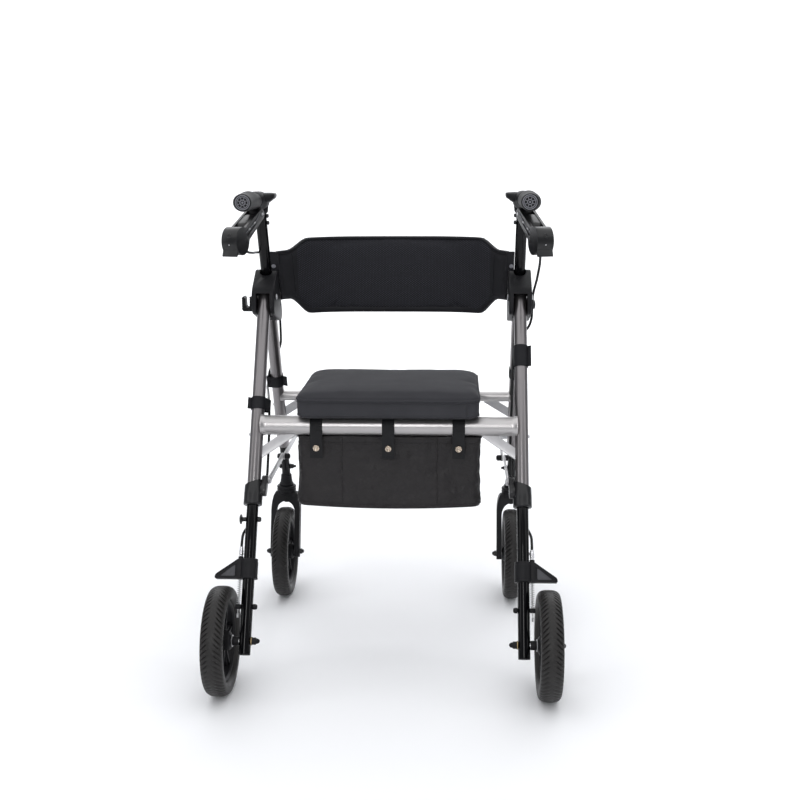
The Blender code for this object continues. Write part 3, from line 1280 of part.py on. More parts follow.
def bag():
    """The bag under the seat: a plain closed form, a little slack at its foot."""
    top = REAR_BAR_Z - REAR_BAR_RADIUS - GAP
    half_length = (BAG_FRONT_Y - BAG_BACK_Y) / 2
    middle = (BAG_FRONT_Y + BAG_BACK_Y) / 2
    height = top - BAG_BOTTOM_Z
    levels = [(0.018, 0.0), (0.006, 0.02), (0.001, 0.10), (0.000, 0.45), (0.002, 0.85), (0.004, 1.0)]
    rings = []
    for inset, share in levels:
        z = BAG_BOTTOM_Z + share * height
        rings.append(rounded_ring(BAG_HALF_WIDTH - inset, half_length - inset, BAG_CORNER, middle, z, 3, 3))
    return loft("bag", rings, BAG_CLOTH)


for label, sign in SIDES.items():
    front_leg(label, sign)
    bracket(label, sign)
    rear_leg(label, sign)
    collar(label, sign)
    side_stay(label, sign)
    rear_lower_leg(label, sign)
    spring_bolt(label, sign)
    rear_wheel(label, sign)
    front_lower_leg(label, sign)
    caster_fork(label, sign)
    front_wheel(label, sign)
    brake_shoe(label, sign)
    brake_spring(label, sign)
    brake_cable(label, sign, LEFT_ROUTE if label == "left" else RIGHT_ROUTE)
    handle_pole(label, sign)
    handle_head(label, sign)
    grip(label, sign)
    brake_lever(label, sign)
cane_bolt(SIDES["left"])
handle_bolts()
cane_clip()
crossbar("rear_crossbar", on_rear_leg, REAR_UP, REAR_BAR_Z, REAR_BAR_RADIUS, REAR_STRIP_DROP, REAR_STRIP_REACH)
crossbar("front_crossbar", on_front_leg, FRONT_UP, FRONT_BAR_Z, FRONT_BAR_RADIUS, FRONT_STRIP_DROP, FRONT_STRIP_REACH)
seat_board()
seat_cushion()
backrest()
bag()
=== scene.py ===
"""The looks of a four-wheel walker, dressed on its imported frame.

Metres, +Z up. Its user stands at -Y, where the camera is, and +X is the user's right.
"""

import json
import math

import bmesh
import bpy
from mathutils import Matrix, Vector, noise
from mathutils.bvhtree import BVHTree


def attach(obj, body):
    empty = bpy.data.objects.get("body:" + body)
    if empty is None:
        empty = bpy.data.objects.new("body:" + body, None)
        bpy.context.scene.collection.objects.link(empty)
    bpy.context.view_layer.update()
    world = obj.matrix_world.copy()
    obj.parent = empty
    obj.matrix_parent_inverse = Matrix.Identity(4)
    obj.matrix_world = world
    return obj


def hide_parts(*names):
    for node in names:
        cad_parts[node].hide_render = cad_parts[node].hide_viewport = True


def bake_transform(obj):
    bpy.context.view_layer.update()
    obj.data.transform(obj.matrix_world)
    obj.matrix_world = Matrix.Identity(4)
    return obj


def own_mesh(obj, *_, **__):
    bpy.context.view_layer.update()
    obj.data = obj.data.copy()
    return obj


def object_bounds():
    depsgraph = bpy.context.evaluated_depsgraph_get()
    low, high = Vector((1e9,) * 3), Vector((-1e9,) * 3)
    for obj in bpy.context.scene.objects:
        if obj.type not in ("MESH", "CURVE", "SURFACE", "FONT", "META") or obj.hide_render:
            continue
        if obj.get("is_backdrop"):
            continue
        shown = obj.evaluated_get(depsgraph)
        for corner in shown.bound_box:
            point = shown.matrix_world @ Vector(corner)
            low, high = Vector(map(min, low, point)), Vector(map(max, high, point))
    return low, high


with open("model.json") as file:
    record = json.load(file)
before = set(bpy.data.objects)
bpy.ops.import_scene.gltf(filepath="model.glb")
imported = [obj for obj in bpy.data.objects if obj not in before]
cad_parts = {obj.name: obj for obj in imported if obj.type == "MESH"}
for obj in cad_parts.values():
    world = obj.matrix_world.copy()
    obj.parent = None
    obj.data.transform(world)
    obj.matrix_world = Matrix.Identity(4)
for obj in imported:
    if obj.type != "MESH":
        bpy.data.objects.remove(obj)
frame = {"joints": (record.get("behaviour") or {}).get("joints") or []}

frame_low, frame_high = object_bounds()


# The studio: a pale floor that sweeps up behind the walker, soft lights above and beside the
# camera, and the camera where the photographer stood.

floor_half = 3.5
floor_drop = 0.0004
camera_place = Vector((0.1271, -2.2408, 0.9461))
camera_aim = Vector((0.0189, 0.0, 0.5022))
camera_roll = math.radians(-0.21)
camera_lens = 52.04
sensor_width = 36.0


class Varying:
    """A value that varies over a surface; sums on it add Math nodes to its finish."""

    def __init__(self, finish, socket):
        self.finish = finish
        self.socket = socket

    def math(self, operation, *terms):
        return self.finish.node("ShaderNodeMath", {"operation": operation}, dict(enumerate(terms)))

    def __add__(self, other):
        return self.math("ADD", self, other)

    def __sub__(self, other):
        return self.math("SUBTRACT", self, other)

    def __rsub__(self, other):
        return self.math("SUBTRACT", other, self)

    def __mul__(self, other):
        return self.math("MULTIPLY", self, other)

    __radd__ = __add__
    __rmul__ = __mul__


class Finish:
    """A procedural material: one Principled shader, the nodes that feed it, and its slot."""

    def __init__(self, name, slot, colour, metallic=0.0, specular=0.5, coat=0.0, coat_roughness=0.03,
                 roughness=0.5):
        self.slot = slot
        self.material = bpy.data.materials.new(name)
        self.material.use_nodes = True
        self.material.diffuse_color = (*colour, 1)
        self.nodes = self.material.node_tree.nodes
        self.shader = self.nodes["Principled BSDF"]
        self.feed(self.shader, {
            "Base Color": (*colour, 1), "Metallic": metallic, "Roughness": roughness,
            "Specular IOR Level": specular, "Coat Weight": coat, "Coat Roughness": coat_roughness,
        })

    def feed(self, node, feeds):
        for name, value in feeds.items():
            if isinstance(value, Varying):
                self.material.node_tree.links.new(value.socket, node.inputs[name])
            else:
                node.inputs[name].default_value = value

    def node(self, kind, settings=None, feeds=None, output=0):
        made = self.nodes.new(kind)
        for name, value in (settings or {}).items():
            setattr(made, name, value)
        self.feed(made, feeds or {})
        return Varying(self, made.outputs[output])

    def where(self, turn=(0, 0, 0)):
        """The place on the piece, seen turned by these angles."""
        feeds = {"Vector": self.node("ShaderNodeTexCoord", output="Object"), "Rotation": turn}
        return self.node("ShaderNodeMapping", None, feeds)

    def cloud(self, scale, detail=2.0):
        """Soft noise from 0 to 1, with blotches of about 1 / scale."""
        return self.node("ShaderNodeTexNoise", None, {"Vector": self.where(), "Scale": scale,
                                                      "Detail": detail})

    def stripes(self, direction, scale, turn=(0, 0, 0)):
        """Soft stripes from 0 to 1, one after the other in this direction."""
        settings = {"wave_type": "BANDS", "bands_direction": direction}
        return self.node("ShaderNodeTexWave", settings, {"Vector": self.where(turn), "Scale": scale})

    def mixed(self, share, first, second):
        """A colour between two others."""
        first, second = [(*end, 1) if isinstance(end, tuple) else end for end in (first, second)]
        return self.node("ShaderNodeMix", {"data_type": "RGBA"}, {0: share, 6: first, 7: second}, output=2)

    def band(self, value, low, high):
        """0 below low, 1 above high and a smooth step between."""
        feeds = {"Value": value, "From Min": low, "From Max": high}
        return self.node("ShaderNodeMapRange", {"interpolation_type": "SMOOTHSTEP"}, feeds)

    def wears(self, roughness, *colours):
        """What varies over the surface: its roughness and, as mixed() takes them, its colours."""
        self.feed(self.shader, {"Roughness": roughness})
        if colours:
            self.feed(self.shader, {"Base Color": self.mixed(*colours)})

    def mottled(self, scale, detail, roughness, spread, *ends):
        """Lets the roughness, and the colour between the two ends, vary with one soft noise."""
        cloud = self.cloud(scale, detail)
        self.wears(roughness + cloud * spread, *([cloud, *ends] if ends else []))

    def relief(self, height, depth, strength=1.0, under=None):
        """Bumps of this depth, on top of those under them."""
        feeds = {"Height": height, "Distance": depth, "Strength": strength}
        if under:
            feeds["Normal"] = under
        bumps = self.node("ShaderNodeBump", None, feeds)
        self.feed(self.shader, {"Normal": bumps})
        return bumps


def link(thing):
    bpy.context.scene.collection.objects.link(thing)
    return thing


def mesh_from(name, shape, crease=35):
    """A mesh of the shape, smooth but for edges sharper than the crease."""
    bmesh.ops.remove_doubles(shape, verts=shape.verts, dist=0.000002)
    bmesh.ops.recalc_face_normals(shape, faces=shape.faces)
    mesh = bpy.data.meshes.new(name)
    shape.to_mesh(mesh)
    shape.free()
    mesh.shade_smooth()
    mesh.set_sharp_from_angle(angle=math.radians(crease))
    return mesh


def verts_of(parts):
    """The vertices among what a mesh operator gives back."""
    return [part for part in parts if isinstance(part, bmesh.types.BMVert)]


def studio_floor():
    """A floor 7 m wide that curves up into a wall behind the walker."""
    bend_start, bend_radius, wall_top, front = 2.6, 1.4, 6.0, -2.2
    line = [(front, 0.0), (bend_start, 0.0)]
    for step in range(1, 17):
        angle = math.pi / 2 * step / 16
        line.append((bend_start + bend_radius * math.sin(angle), bend_radius * (1 - math.cos(angle))))
    line.append((bend_start + bend_radius, wall_top))
    shape = bmesh.new()
    verts = [shape.verts.new((-floor_half, y, z - floor_drop)) for y, z in line]
    edges = [shape.edges.new(ends) for ends in zip(verts, verts[1:])]
    grown = bmesh.ops.extrude_edge_only(shape, edges=edges)
    bmesh.ops.translate(shape, vec=(2 * floor_half, 0, 0), verts=verts_of(grown["geom"]))
    floor = link(bpy.data.objects.new("studio_floor", mesh_from("studio_floor", shape)))
    paper = Finish("studio_paper", None, (0.93, 0.935, 0.95), roughness=0.95, specular=0.0)
    floor.data.materials.append(paper.material)
    floor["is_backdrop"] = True


def soft_light(name, place, aim, width, height, watts):
    lamp = bpy.data.lights.new(name, "AREA")
    lamp.shape = "RECTANGLE"
    lamp.size, lamp.size_y = width, height
    lamp.energy = watts
    made = link(bpy.data.objects.new(name, lamp))
    made.location = place
    made.rotation_euler = (Vector(aim) - Vector(place)).to_track_quat("-Z", "Y").to_euler()


studio_floor()
soft_light("top_light", (0.0, -0.2, 3.6), (0, -0.19, 0), 7.0, 7.0, 166)
soft_light("front_light", (-0.3, -4.2, 1.9), (0, 0, 0.5), 0.5, 2.4, 38)
soft_light("left_light", (-3.4, -1.6, 1.8), (0, 0, 0.5), 0.8, 2.4, 14)
soft_light("right_light", (3.4, -1.4, 1.8), (0, 0, 0.5), 0.8, 2.4, 14)
soft_light("wall_light", (0.0, 1.6, 4.2), (0, 4.0, 3.6), 6.0, 1.5, 200)

sky = bpy.data.worlds.new("studio_air")
sky.use_nodes = True
sky.node_tree.nodes["Background"].inputs["Color"].default_value = (0.92, 0.95, 1.0, 1)
sky.node_tree.nodes["Background"].inputs["Strength"].default_value = 0.32
bpy.context.scene.world = sky
bpy.context.scene.view_settings.view_transform = "Standard"

camera_data = bpy.data.cameras.new("camera")
camera_data.lens = camera_lens
camera_data.sensor_width = sensor_width
camera = link(bpy.data.objects.new("camera", camera_data))
camera.location = camera_place
camera.rotation_mode = "QUATERNION"
look = (camera_aim - camera_place).to_track_quat("-Z", "Y")
camera.rotation_quaternion = look @ Matrix.Rotation(camera_roll, 3, "Z").to_quaternion()
bpy.context.scene.camera = camera


# Front legs: 25.4 mm aluminium tube in a warm metallic lacquer, with a row of button holes in the
# outer wall near the foot and a rivet for the side stay. Each is pressed into its hinge bracket.

joints = {joint["name"]: joint for joint in frame["joints"]}


def joint_at(name):
    """The place of this joint."""
    return Vector(joints[name]["pos_m"])


sides = {"left": -1, "right": 1}
fold_pin = joint_at("fold")
rear_up = -Vector(joints["rear_leg_slide_right"]["axis"])
front_up = -Vector(joints["front_leg_slide_right"]["axis"])
leg_x = joints["caster_swivel_right"]["pos_m"][0]
front_stay_pivot = joint_at("front_stay_pivot_right")
across = Vector((1, 0, 0))
upward = Vector((0, 0, 1))

leg_radius = 0.0127
leg_wall = 0.0013
clearance = 0.0003
front_leg_foot, front_leg_head = 0.346, 0.74
button_height = 0.447
button_pitch = 0.025
button_radius = 0.003
stay_thickness = 0.003
rear_stay_x = 0.229
front_stay_x = 0.225
lower_tube_radius = 0.0095
pole_radius = 0.0111


def metallic_lacquer(name, colour, roughness, dark, light):
    """A warm lacquer with fine metal flakes, under a clear coat."""
    finish = Finish(name, "titanium_lacquer", colour, 0.9, coat=0.4, coat_roughness=0.16)
    flake, drift = finish.cloud(2600, 1.0), finish.cloud(9)
    finish.wears(roughness + flake * 0.14 + drift * 0.04, flake * 0.5 + drift * 0.5, dark, light)
    finish.relief(flake, 0.00002, 0.35)
    return finish


lacquer = metallic_lacquer("titanium_lacquer", (0.235, 0.222, 0.226), 0.24, (0.16, 0.15, 0.153),
                           (0.262, 0.247, 0.252))
steel = Finish("zinc_steel", "zinc_steel", (0.52, 0.52, 0.54), 1.0)
steel.mottled(900, 3.0, 0.2, 0.22, (0.42, 0.42, 0.44), (0.62, 0.62, 0.63))

moulded = Finish("black_plastic", "black_plastic", (0.01, 0.01, 0.011), specular=0.18)
grain = moulded.cloud(1500)
sheen = moulded.cloud(30)
moulded.wears(0.38 + sheen * 0.12 + grain * 0.06, sheen, (0.006, 0.006, 0.007), (0.013, 0.013, 0.015))
moulded.relief(grain, 0.00006, 0.45)


def front_leg_at(height, x=leg_x):
    """The point of a front leg's and its pole's centre line at this height."""
    foot = Vector((x, front_stay_pivot.y, front_stay_pivot.z))
    return foot + front_up * ((height - foot.z) / front_up.z)


def stand(origin, axis, first=across):
    """The matrix that stands a shape at origin, its Z along axis and its X towards first."""
    along = Vector(axis).normalized()
    sideways = (Vector(first) - along * along.dot(Vector(first))).normalized()
    turn = Matrix((sideways, along.cross(sideways), along)).transposed()
    return Matrix.Translation(origin) @ turn.to_4x4()


def crosswise(point, way=1):
    """The place of something that stands across the walker, outwards or, the other way, inwards."""
    return stand(point, across * way, upward)


def eased(corners, ease, closed=False, cuts=3):
    """An outline whose corners are rounded by short curves."""
    line = []
    for index, corner in enumerate(corners):
        here = Vector(corner)
        if not closed and index in (0, len(corners) - 1):
            line.append(here)
            continue
        before = Vector(corners[index - 1]) - here
        after = Vector(corners[(index + 1) % len(corners)]) - here
        reach = min(ease, before.length * 0.48, after.length * 0.48)
        start, end = here + before.normalized() * reach, here + after.normalized() * reach
        for step in range(cuts + 1):
            share = step / cuts
            line.append(start.lerp(here, share).lerp(here.lerp(end, share), share))
    return line


def spun(outline, place, steps, closed=False):
    """A turned shape: (radius, height) points spun round Z, then stood in place."""
    shape = bmesh.new()
    line = [shape.verts.new((radius, 0, height)) for radius, height in outline]
    edges = [shape.edges.new(ends) for ends in zip(line, line[1:])]
    if closed:
        edges.append(shape.edges.new((line[-1], line[0])))
    bmesh.ops.spin(shape, geom=line + edges, cent=(0, 0, 0), axis=(0, 0, 1), angle=2 * math.pi, steps=steps,
                   use_merge=True)
    bmesh.ops.remove_doubles(shape, verts=shape.verts, dist=0.000002)
    bmesh.ops.recalc_face_normals(shape, faces=shape.faces)
    if place:
        bmesh.ops.transform(shape, matrix=place, verts=shape.verts)
    return shape


def turned(outline, ease, place, steps, closed=False, cuts=3):
    """A turned shape with eased corners."""
    return spun(eased(outline, ease, closed, cuts), place, steps, closed)


def rod(start, end, radius, steps=32, ease=0.0004):
    """A solid round bar between two points, its rims eased."""
    along = Vector(end) - Vector(start)
    first = across if abs(along.normalized().x) < 0.9 else upward
    outline = [(0, along.length), (radius, along.length), (radius, 0), (0, 0)]
    return turned(outline, ease, stand(start, along, first), steps)


def pipe(start, end, outer, inner, ease=0.0006, steps=56):
    """A round tube between two points."""
    along = Vector(end) - Vector(start)
    outline = [(outer, 0), (outer, along.length), (inner, along.length), (inner, 0)]
    return turned(outline, ease, stand(start, along), steps, closed=True)


def together(*shapes):
    """One shape that holds all of these."""
    whole = shapes[0]
    for part in shapes[1:]:
        mesh = bpy.data.meshes.new("part")
        part.to_mesh(mesh)
        part.free()
        whole.from_mesh(mesh)
        bpy.data.meshes.remove(mesh)
    return whole


def as_object(shape):
    """An object that holds the shape, for modifiers to work on."""
    mesh = bpy.data.meshes.new("helper")
    shape.to_mesh(mesh)
    shape.free()
    return link(bpy.data.objects.new("helper", mesh))


def worked(helper):
    """The mesh that an object's modifiers make."""
    bpy.context.view_layer.update()
    return bpy.data.meshes.new_from_object(helper.evaluated_get(bpy.context.evaluated_depsgraph_get()))


def taken(helper, *spare):
    """The shape that an object's modifiers make, once the object and the spare ones are removed."""
    shape = bmesh.new()
    shape.from_mesh(worked(helper))
    for done in (helper, *spare):
        bpy.data.objects.remove(done, do_unlink=True)
    return shape


def carved(shape, *tools, operation="DIFFERENCE"):
    """The shape with the tools cut out of it, or joined to it."""
    for part in (shape, *tools):
        bmesh.ops.recalc_face_normals(part, faces=part.faces)
    helper, *cutters = [as_object(part) for part in (shape, *tools)]
    for cutter in cutters:
        step = helper.modifiers.new("carve", "BOOLEAN")
        step.operation = operation
        step.object = cutter
    return taken(helper, *cutters)


def handed(shape, side):
    """The shape as modelled, at the right, or its mirror image at the left."""
    if side < 0:
        bmesh.ops.scale(shape, vec=(-1, 1, 1), verts=shape.verts)
        bmesh.ops.reverse_faces(shape, faces=shape.faces)
    return shape


def dress(name, shape, finish, body, stands_for=(), crease=35, slot=None):
    """Makes the shape a piece that rides on a body, in a finish, in place of some nodes."""
    piece = link(bpy.data.objects.new(name, mesh_from(name, shape, crease)))
    piece.data.materials.append(finish.material)
    if body:
        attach(piece, body)
    slot or finish.slot
    if stands_for:
        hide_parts(*stands_for)
    return piece


def pair(name, shape, finish, body, stands_for=None, crease=35, slot=None):
    """A piece at each side: the shape at the right and its mirror image at the left.

    A * in the body's name stands for the side, which is also added to the two other names.
    """
    pieces = {}
    for side in sides:
        nodes = [f"{stands_for}_{side}"] if stands_for else ()
        pieces[side] = dress(f"{name}_{side}", handed(shape.copy(), sides[side]), finish,
                             body.replace("*", side), nodes, crease, slot)
    shape.free()
    return pieces


def button_holes(leg_point, leg_up):
    """Tools for three button holes through a leg's outer wall."""
    holes = []
    for step in range(3):
        middle = leg_point - leg_up * step * button_pitch
        holes.append(rod(middle + across * leg_radius * 0.5, middle + across * leg_radius * 1.5,
                         button_radius + clearance, 20))
    return holes


def rivet(root_x, plane_x, pivot, boss):
    """A headed stud through a stay: a boss from the leg, then the pin, then a domed head inside."""
    face = stay_thickness / 2 + clearance
    outline = [(0, root_x - plane_x), (boss, root_x - plane_x), (boss, face), (0.004, face), (0.004, -face),
               (0.0065, -face), (0.0065, -face - 0.0014), (0.0052, -face - 0.0026), (0, -face - 0.0032)]
    return turned(outline, 0.0004, crosswise((plane_x, pivot.y, pivot.z)), 32)


tube = pipe(front_leg_at(front_leg_foot), front_leg_at(front_leg_head), leg_radius, leg_radius - leg_wall)
tube = carved(tube, *button_holes(front_leg_at(button_height), front_up))
pair("front_leg_tube", tube, lacquer, "front_frame", "front_leg")
stud = rivet(leg_x - leg_radius + 0.001, front_stay_x, front_stay_pivot, 0.0065)
pair("front_stay_rivet", stud, steel, "front_frame")
foot, head = front_leg_at(front_leg_foot), front_leg_at(front_leg_head)
bush_outer = leg_radius - leg_wall - 0.0001
bushes = together(
    pipe(foot - front_up * 0.0012, foot + front_up * 0.014, bush_outer, lower_tube_radius + clearance,
         0.0004),
    pipe(head - front_up * 0.008, head + front_up * 0.0012, bush_outer, pole_radius + 0.0002, 0.0004),
)
pair("front_leg_bushes", bushes, moulded, "front_frame")


# Crossbars: 38 mm tube at the back and 22 mm at the front, coped round the legs and welded to them,
# each with a flat strip that braces it to the leg below.

rear_bar_height, rear_bar_radius = 0.464, 0.019
front_bar_height, front_bar_radius = 0.469, 0.011
strip_width = 0.019
strip_thickness = 0.003


def rear_leg_at(height, x=leg_x):
    """The point of a rear leg's centre line at this height."""
    pin = Vector((x, fold_pin.y, fold_pin.z))
    return pin + rear_up * ((height - pin.z) / rear_up.z)


def slab(outline, low, high, place=None, ease=0.0, segments=2, angle=30):
    """A plate: a flat outline in X and Y from low to high along Z, its rims rounded by ease."""
    shape = bmesh.new()
    face = shape.faces.new([shape.verts.new((a, b, low)) for a, b in outline])
    grown = bmesh.ops.extrude_face_region(shape, geom=[face])
    bmesh.ops.translate(shape, vec=(0, 0, high - low), verts=verts_of(grown["geom"]))
    bmesh.ops.recalc_face_normals(shape, faces=shape.faces)
    if ease:
        soften(shape, ease, segments, angle)
    if place:
        bmesh.ops.transform(shape, matrix=place, verts=shape.verts)
    return shape


def soften(shape, ease, segments, angle):
    """Rounds every edge sharper than the angle."""
    sharp = [edge for edge in shape.edges if edge.is_manifold
             and edge.calc_face_angle(0) > math.radians(angle)]
    bmesh.ops.bevel(shape, geom=sharp, offset=ease, offset_type="OFFSET", affect="EDGES", segments=segments,
                    profile=0.5, material=-1, clamp_overlap=True)
    return shape


def oblong(low_a, low_b, high_a, high_b, round_off, cuts):
    """A rectangle with round corners."""
    corners = [(low_a, low_b), (high_a, low_b), (high_a, high_b), (low_a, high_b)]
    return eased(corners, round_off, True, cuts)


def crossbar(leg_at, leg_up, height, radius, drop, reach):
    """A bar with a weld's swell at each end, and its two strips."""
    half = leg_x - radius * 0.42
    outline = [(0, half), (radius + 0.0024, half)]
    for step in range(7):
        share = step / 6
        outline.append((radius + 0.0022 * (1 - share) ** 2, half - 0.002 - 0.01 * share))
    outline += [(size, -along) for size, along in reversed(outline)]
    bar = spun(outline, crosswise(leg_at(height, 0)), 72)
    strips, legs = [], []
    for side in sides.values():
        low = leg_at(height - drop, side * (leg_x - 0.003))
        high = leg_at(height - radius * 0.6, side * (leg_x - reach))
        place = stand(low, high - low, across.cross(leg_up))
        flat = oblong(-strip_thickness / 2, -strip_width / 2, strip_thickness / 2, strip_width / 2, 0.0009, 3)
        strips.append(slab(flat, 0, (high - low).length, place))
        foot, head = leg_at(height - 2 * drop, side * leg_x), leg_at(height + 2 * drop, side * leg_x)
        legs.append(rod(foot, head, leg_radius + 0.0002, 56))
    bar = carved(bar, *[tool.copy() for tool in legs])
    strip = carved(together(*strips), *legs)
    return bar, strip


pale_strip = Finish("pale_aluminium", "pale_aluminium", (0.62, 0.61, 0.62), 0.75, coat=0.2)
grit = pale_strip.cloud(2200, 1.0)
brush = pale_strip.cloud(60, 3.0)
pale_strip.wears(0.3 + grit * 0.16, brush, (0.34, 0.34, 0.35), (0.48, 0.47, 0.48))

# The crossbars wear a lighter copy of the legs' lacquer, in the same slot: painted light, which stands for
# the light from above that the bars catch.
painted_light_lacquer = metallic_lacquer("bar_lacquer", (0.4, 0.385, 0.385), 0.26, (0.39, 0.375, 0.375),
                                  (0.52, 0.505, 0.505))

for name, leg_at, leg_up, height, radius, drop, reach, body in (
    ("rear", rear_leg_at, rear_up, rear_bar_height, rear_bar_radius, 0.054, 0.0705, "rear_frame"),
    ("front", front_leg_at, front_up, front_bar_height, front_bar_radius, 0.044, 0.06, "front_frame"),
):
    bar, strip = crossbar(leg_at, leg_up, height, radius, drop, reach)
    dress(f"{name}_bar", bar, painted_light_lacquer, body, [f"{name}_crossbar"])
    dress(f"{name}_bar_strips", strip, pale_strip, body)


# Hinge brackets: one-piece black mouldings. The front leg and the pole stand in the socket, and the
# rear leg's head swings on the fold pin between the cheeks.

bracket_width = 0.045
leg_slot = 0.0277
swing_radius = 0.022
swing_mouth = 0.009
pin_radius = 0.004
bolt_radius = 0.003
bolt_height = 0.678


def stretched(discs, low, high, ease=0.0, segments=3, points=40):
    """A plate between X low and high, stretched round discs given as (y, z, radius)."""
    shape = bmesh.new()
    for y, z, radius in discs:
        for step in range(points):
            turn = 2 * math.pi * (step + 0.5) / points
            for x in (low, high):
                shape.verts.new((x, y + radius * math.cos(turn), z + radius * math.sin(turn)))
    hull = bmesh.ops.convex_hull(shape, input=shape.verts)
    spare = set(verts_of(hull["geom_interior"] + hull["geom_unused"]))
    bmesh.ops.delete(shape, geom=list(spare), context="VERTS")
    bmesh.ops.dissolve_limit(shape, angle_limit=0.004, verts=shape.verts, edges=shape.edges)
    bmesh.ops.recalc_face_normals(shape, faces=shape.faces)
    if ease:
        soften(shape, ease, segments, 40)
    return shape


def side_view(origin):
    """The place of a plate whose outline is drawn in Y and Z round origin and extruded along X."""
    return stand((0, origin[1], origin[2]), across, (0, 1, 0))


def swing_space():
    """The hollow in which the rear leg's head swings, open at the back and below."""
    mouth = math.asin(swing_mouth / swing_radius)
    outline = []
    for step in range(25):
        turn = (math.pi - mouth) * (1 - step / 24)
        outline.append((swing_radius * math.cos(turn), swing_radius * math.sin(turn)))
    deep, back = -3 * swing_radius, -2 * swing_radius
    outline += [(swing_radius, deep), (back, deep), (back, swing_mouth)]
    return slab(outline, leg_x - leg_slot / 2, leg_x + leg_slot / 2, side_view(fold_pin))


def domed_head(radius, height, socket=0.0):
    """A screw head's outline, from its seat at 0 up to its crown, with a key's socket if it has one."""
    outline = [(0, 0), (radius, 0), (radius, height * 0.35), (radius * 0.86, height * 0.8),
               (radius * 0.55, height)]
    if socket:
        outline += [(socket, height), (socket * 0.9, height * 0.35)]
    return outline + [(0, height * (0.35 if socket else 1.04))]


def crossrod(middle, reach, radius, steps=32, ease=0.0004):
    """A solid round bar across the walker, which reaches this far to each side of its middle."""
    return rod(middle - across * reach, middle + across * reach, radius, steps, ease)


low, high = front_leg_at(fold_pin.z - 0.04), front_leg_at(fold_pin.z + 0.035)
cheek = rear_leg_at(fold_pin.z - 0.017)
discs = [(fold_pin.y, fold_pin.z, 0.026), (cheek.y, cheek.z, 0.018), (low.y, low.z, 0.0165),
         (high.y, high.z, 0.0165)]
half = bracket_width / 2
bolt = front_leg_at(bolt_height)
notch_half = pole_radius + 0.0018
notch = slab(oblong(-notch_half, 0, notch_half, 0.05, notch_half * 0.8, 6), -0.002, 0.06,
             stand(front_leg_at(front_leg_head + 0.0006), (0, -1, 0), across))
shell = carved(
    stretched(discs, leg_x - half, leg_x + half, 0.0028, 4),
    swing_space(),
    rod(front_leg_at(fold_pin.z - 0.1), front_leg_at(fold_pin.z + 0.1), leg_radius + clearance, 56, 0),
    crossrod(bolt, half * 1.2, bolt_radius + clearance, 24, 0),
    notch,
)
boss = [(0, -0.001), (0.0085, -0.001), (0.0078, 0.001), (0, 0.001)]
bosses = [turned(boss, 0.0005, crosswise((leg_x + way * half, fold_pin.y, fold_pin.z), way), 40)
          for way in (-1, 1)]
pair("hinge_bracket_shell", together(shell, *bosses), moulded, "front_frame", "hinge_bracket")
head = domed_head(0.0056, 0.0022, 0.0024)
heads = [turned(head, 0.0003, crosswise((leg_x + way * (half + 0.001), fold_pin.y, fold_pin.z), way), 32)
         for way in (-1, 1)]
pin = crossrod(Vector((leg_x, fold_pin.y, fold_pin.z)), half - 0.001, pin_radius)
pair("fold_pin_and_heads", together(pin, *heads), steel, "front_frame", "fold_pin")


# Rear legs: the same tube, from the fold pin down to the collar. The head turns in the bracket.

rear_leg_foot = 0.335
leg_past_pin = 0.016

head = rear_leg_at(fold_pin.z) + rear_up * leg_past_pin
pin_hole = crossrod(rear_leg_at(fold_pin.z), 0.03, pin_radius + clearance, 24)
tube = pipe(rear_leg_at(rear_leg_foot), head, leg_radius, leg_radius - leg_wall)
tube = carved(tube, pin_hole, *button_holes(rear_leg_at(button_height), rear_up))
pair("rear_leg_tube", tube, lacquer, "rear_frame", "rear_leg")


# Collars: black mouldings with a slanted top that close the foot of each rear leg round the lower
# leg, with a lug inside on which the side stay is riveted.

collar_radius = 0.01775
collar_foot = 0.324
collar_length = 0.046
stay_pivot = joint_at("rear_stay_pivot_right")

gloss = Finish("gloss_moulding", "black_plastic", (0.008, 0.008, 0.009), specular=0.42)
gloss.mottled(40, 3.0, 0.24, 0.14)
gloss.relief(gloss.cloud(1200), 0.00004, 0.3)

foot = rear_leg_at(collar_foot)
shoulder = (rear_leg_foot - collar_foot) / rear_up.z - clearance
inner, bore = leg_radius + 0.0002, pole_radius + clearance
tall = collar_length + 0.008
outline = [(collar_radius - 0.0012, tall), (collar_radius, collar_length * 0.45), (collar_radius, 0.004),
           (collar_radius + 0.0004, 0.0032), (collar_radius - 0.0006, 0), (bore, 0), (bore, shoulder),
           (inner, shoulder), (inner, tall)]
ring = turned(outline, 0.0009, stand(foot, rear_up), 64, closed=True)
slant = stand(foot + rear_up * (collar_length - 0.002), rear_up * 1.0 + across * 0.34)
lid = slab(oblong(-0.05, -0.05, 0.05, 0.05, 0.001, 1), 0, 0.05, slant)
ring = carved(ring, lid)
soften(ring, 0.0007, 2, 50)
root = rear_leg_at(0.35)
lug_face = rear_stay_x + stay_thickness / 2 + clearance
lug = stretched([(stay_pivot.y, stay_pivot.z, 0.009), (root.y, root.z, 0.012)], lug_face,
                leg_x - leg_radius - 0.001, 0.0012)
pair("collar_shell", together(ring, lug), gloss, "rear_frame", "leg_collar")
stud = rivet(lug_face + 0.004, rear_stay_x, stay_pivot, 0.0045)
pair("rear_stay_rivet", stud, steel, "rear_frame")


# Side stays: two flat links a side, riveted to the legs. They meet at an elbow, where each carries one
# of the black caps that lock the frame open.

stay_width = 0.014
elbow_share = 0.488
elbow_cap_radius = 0.006

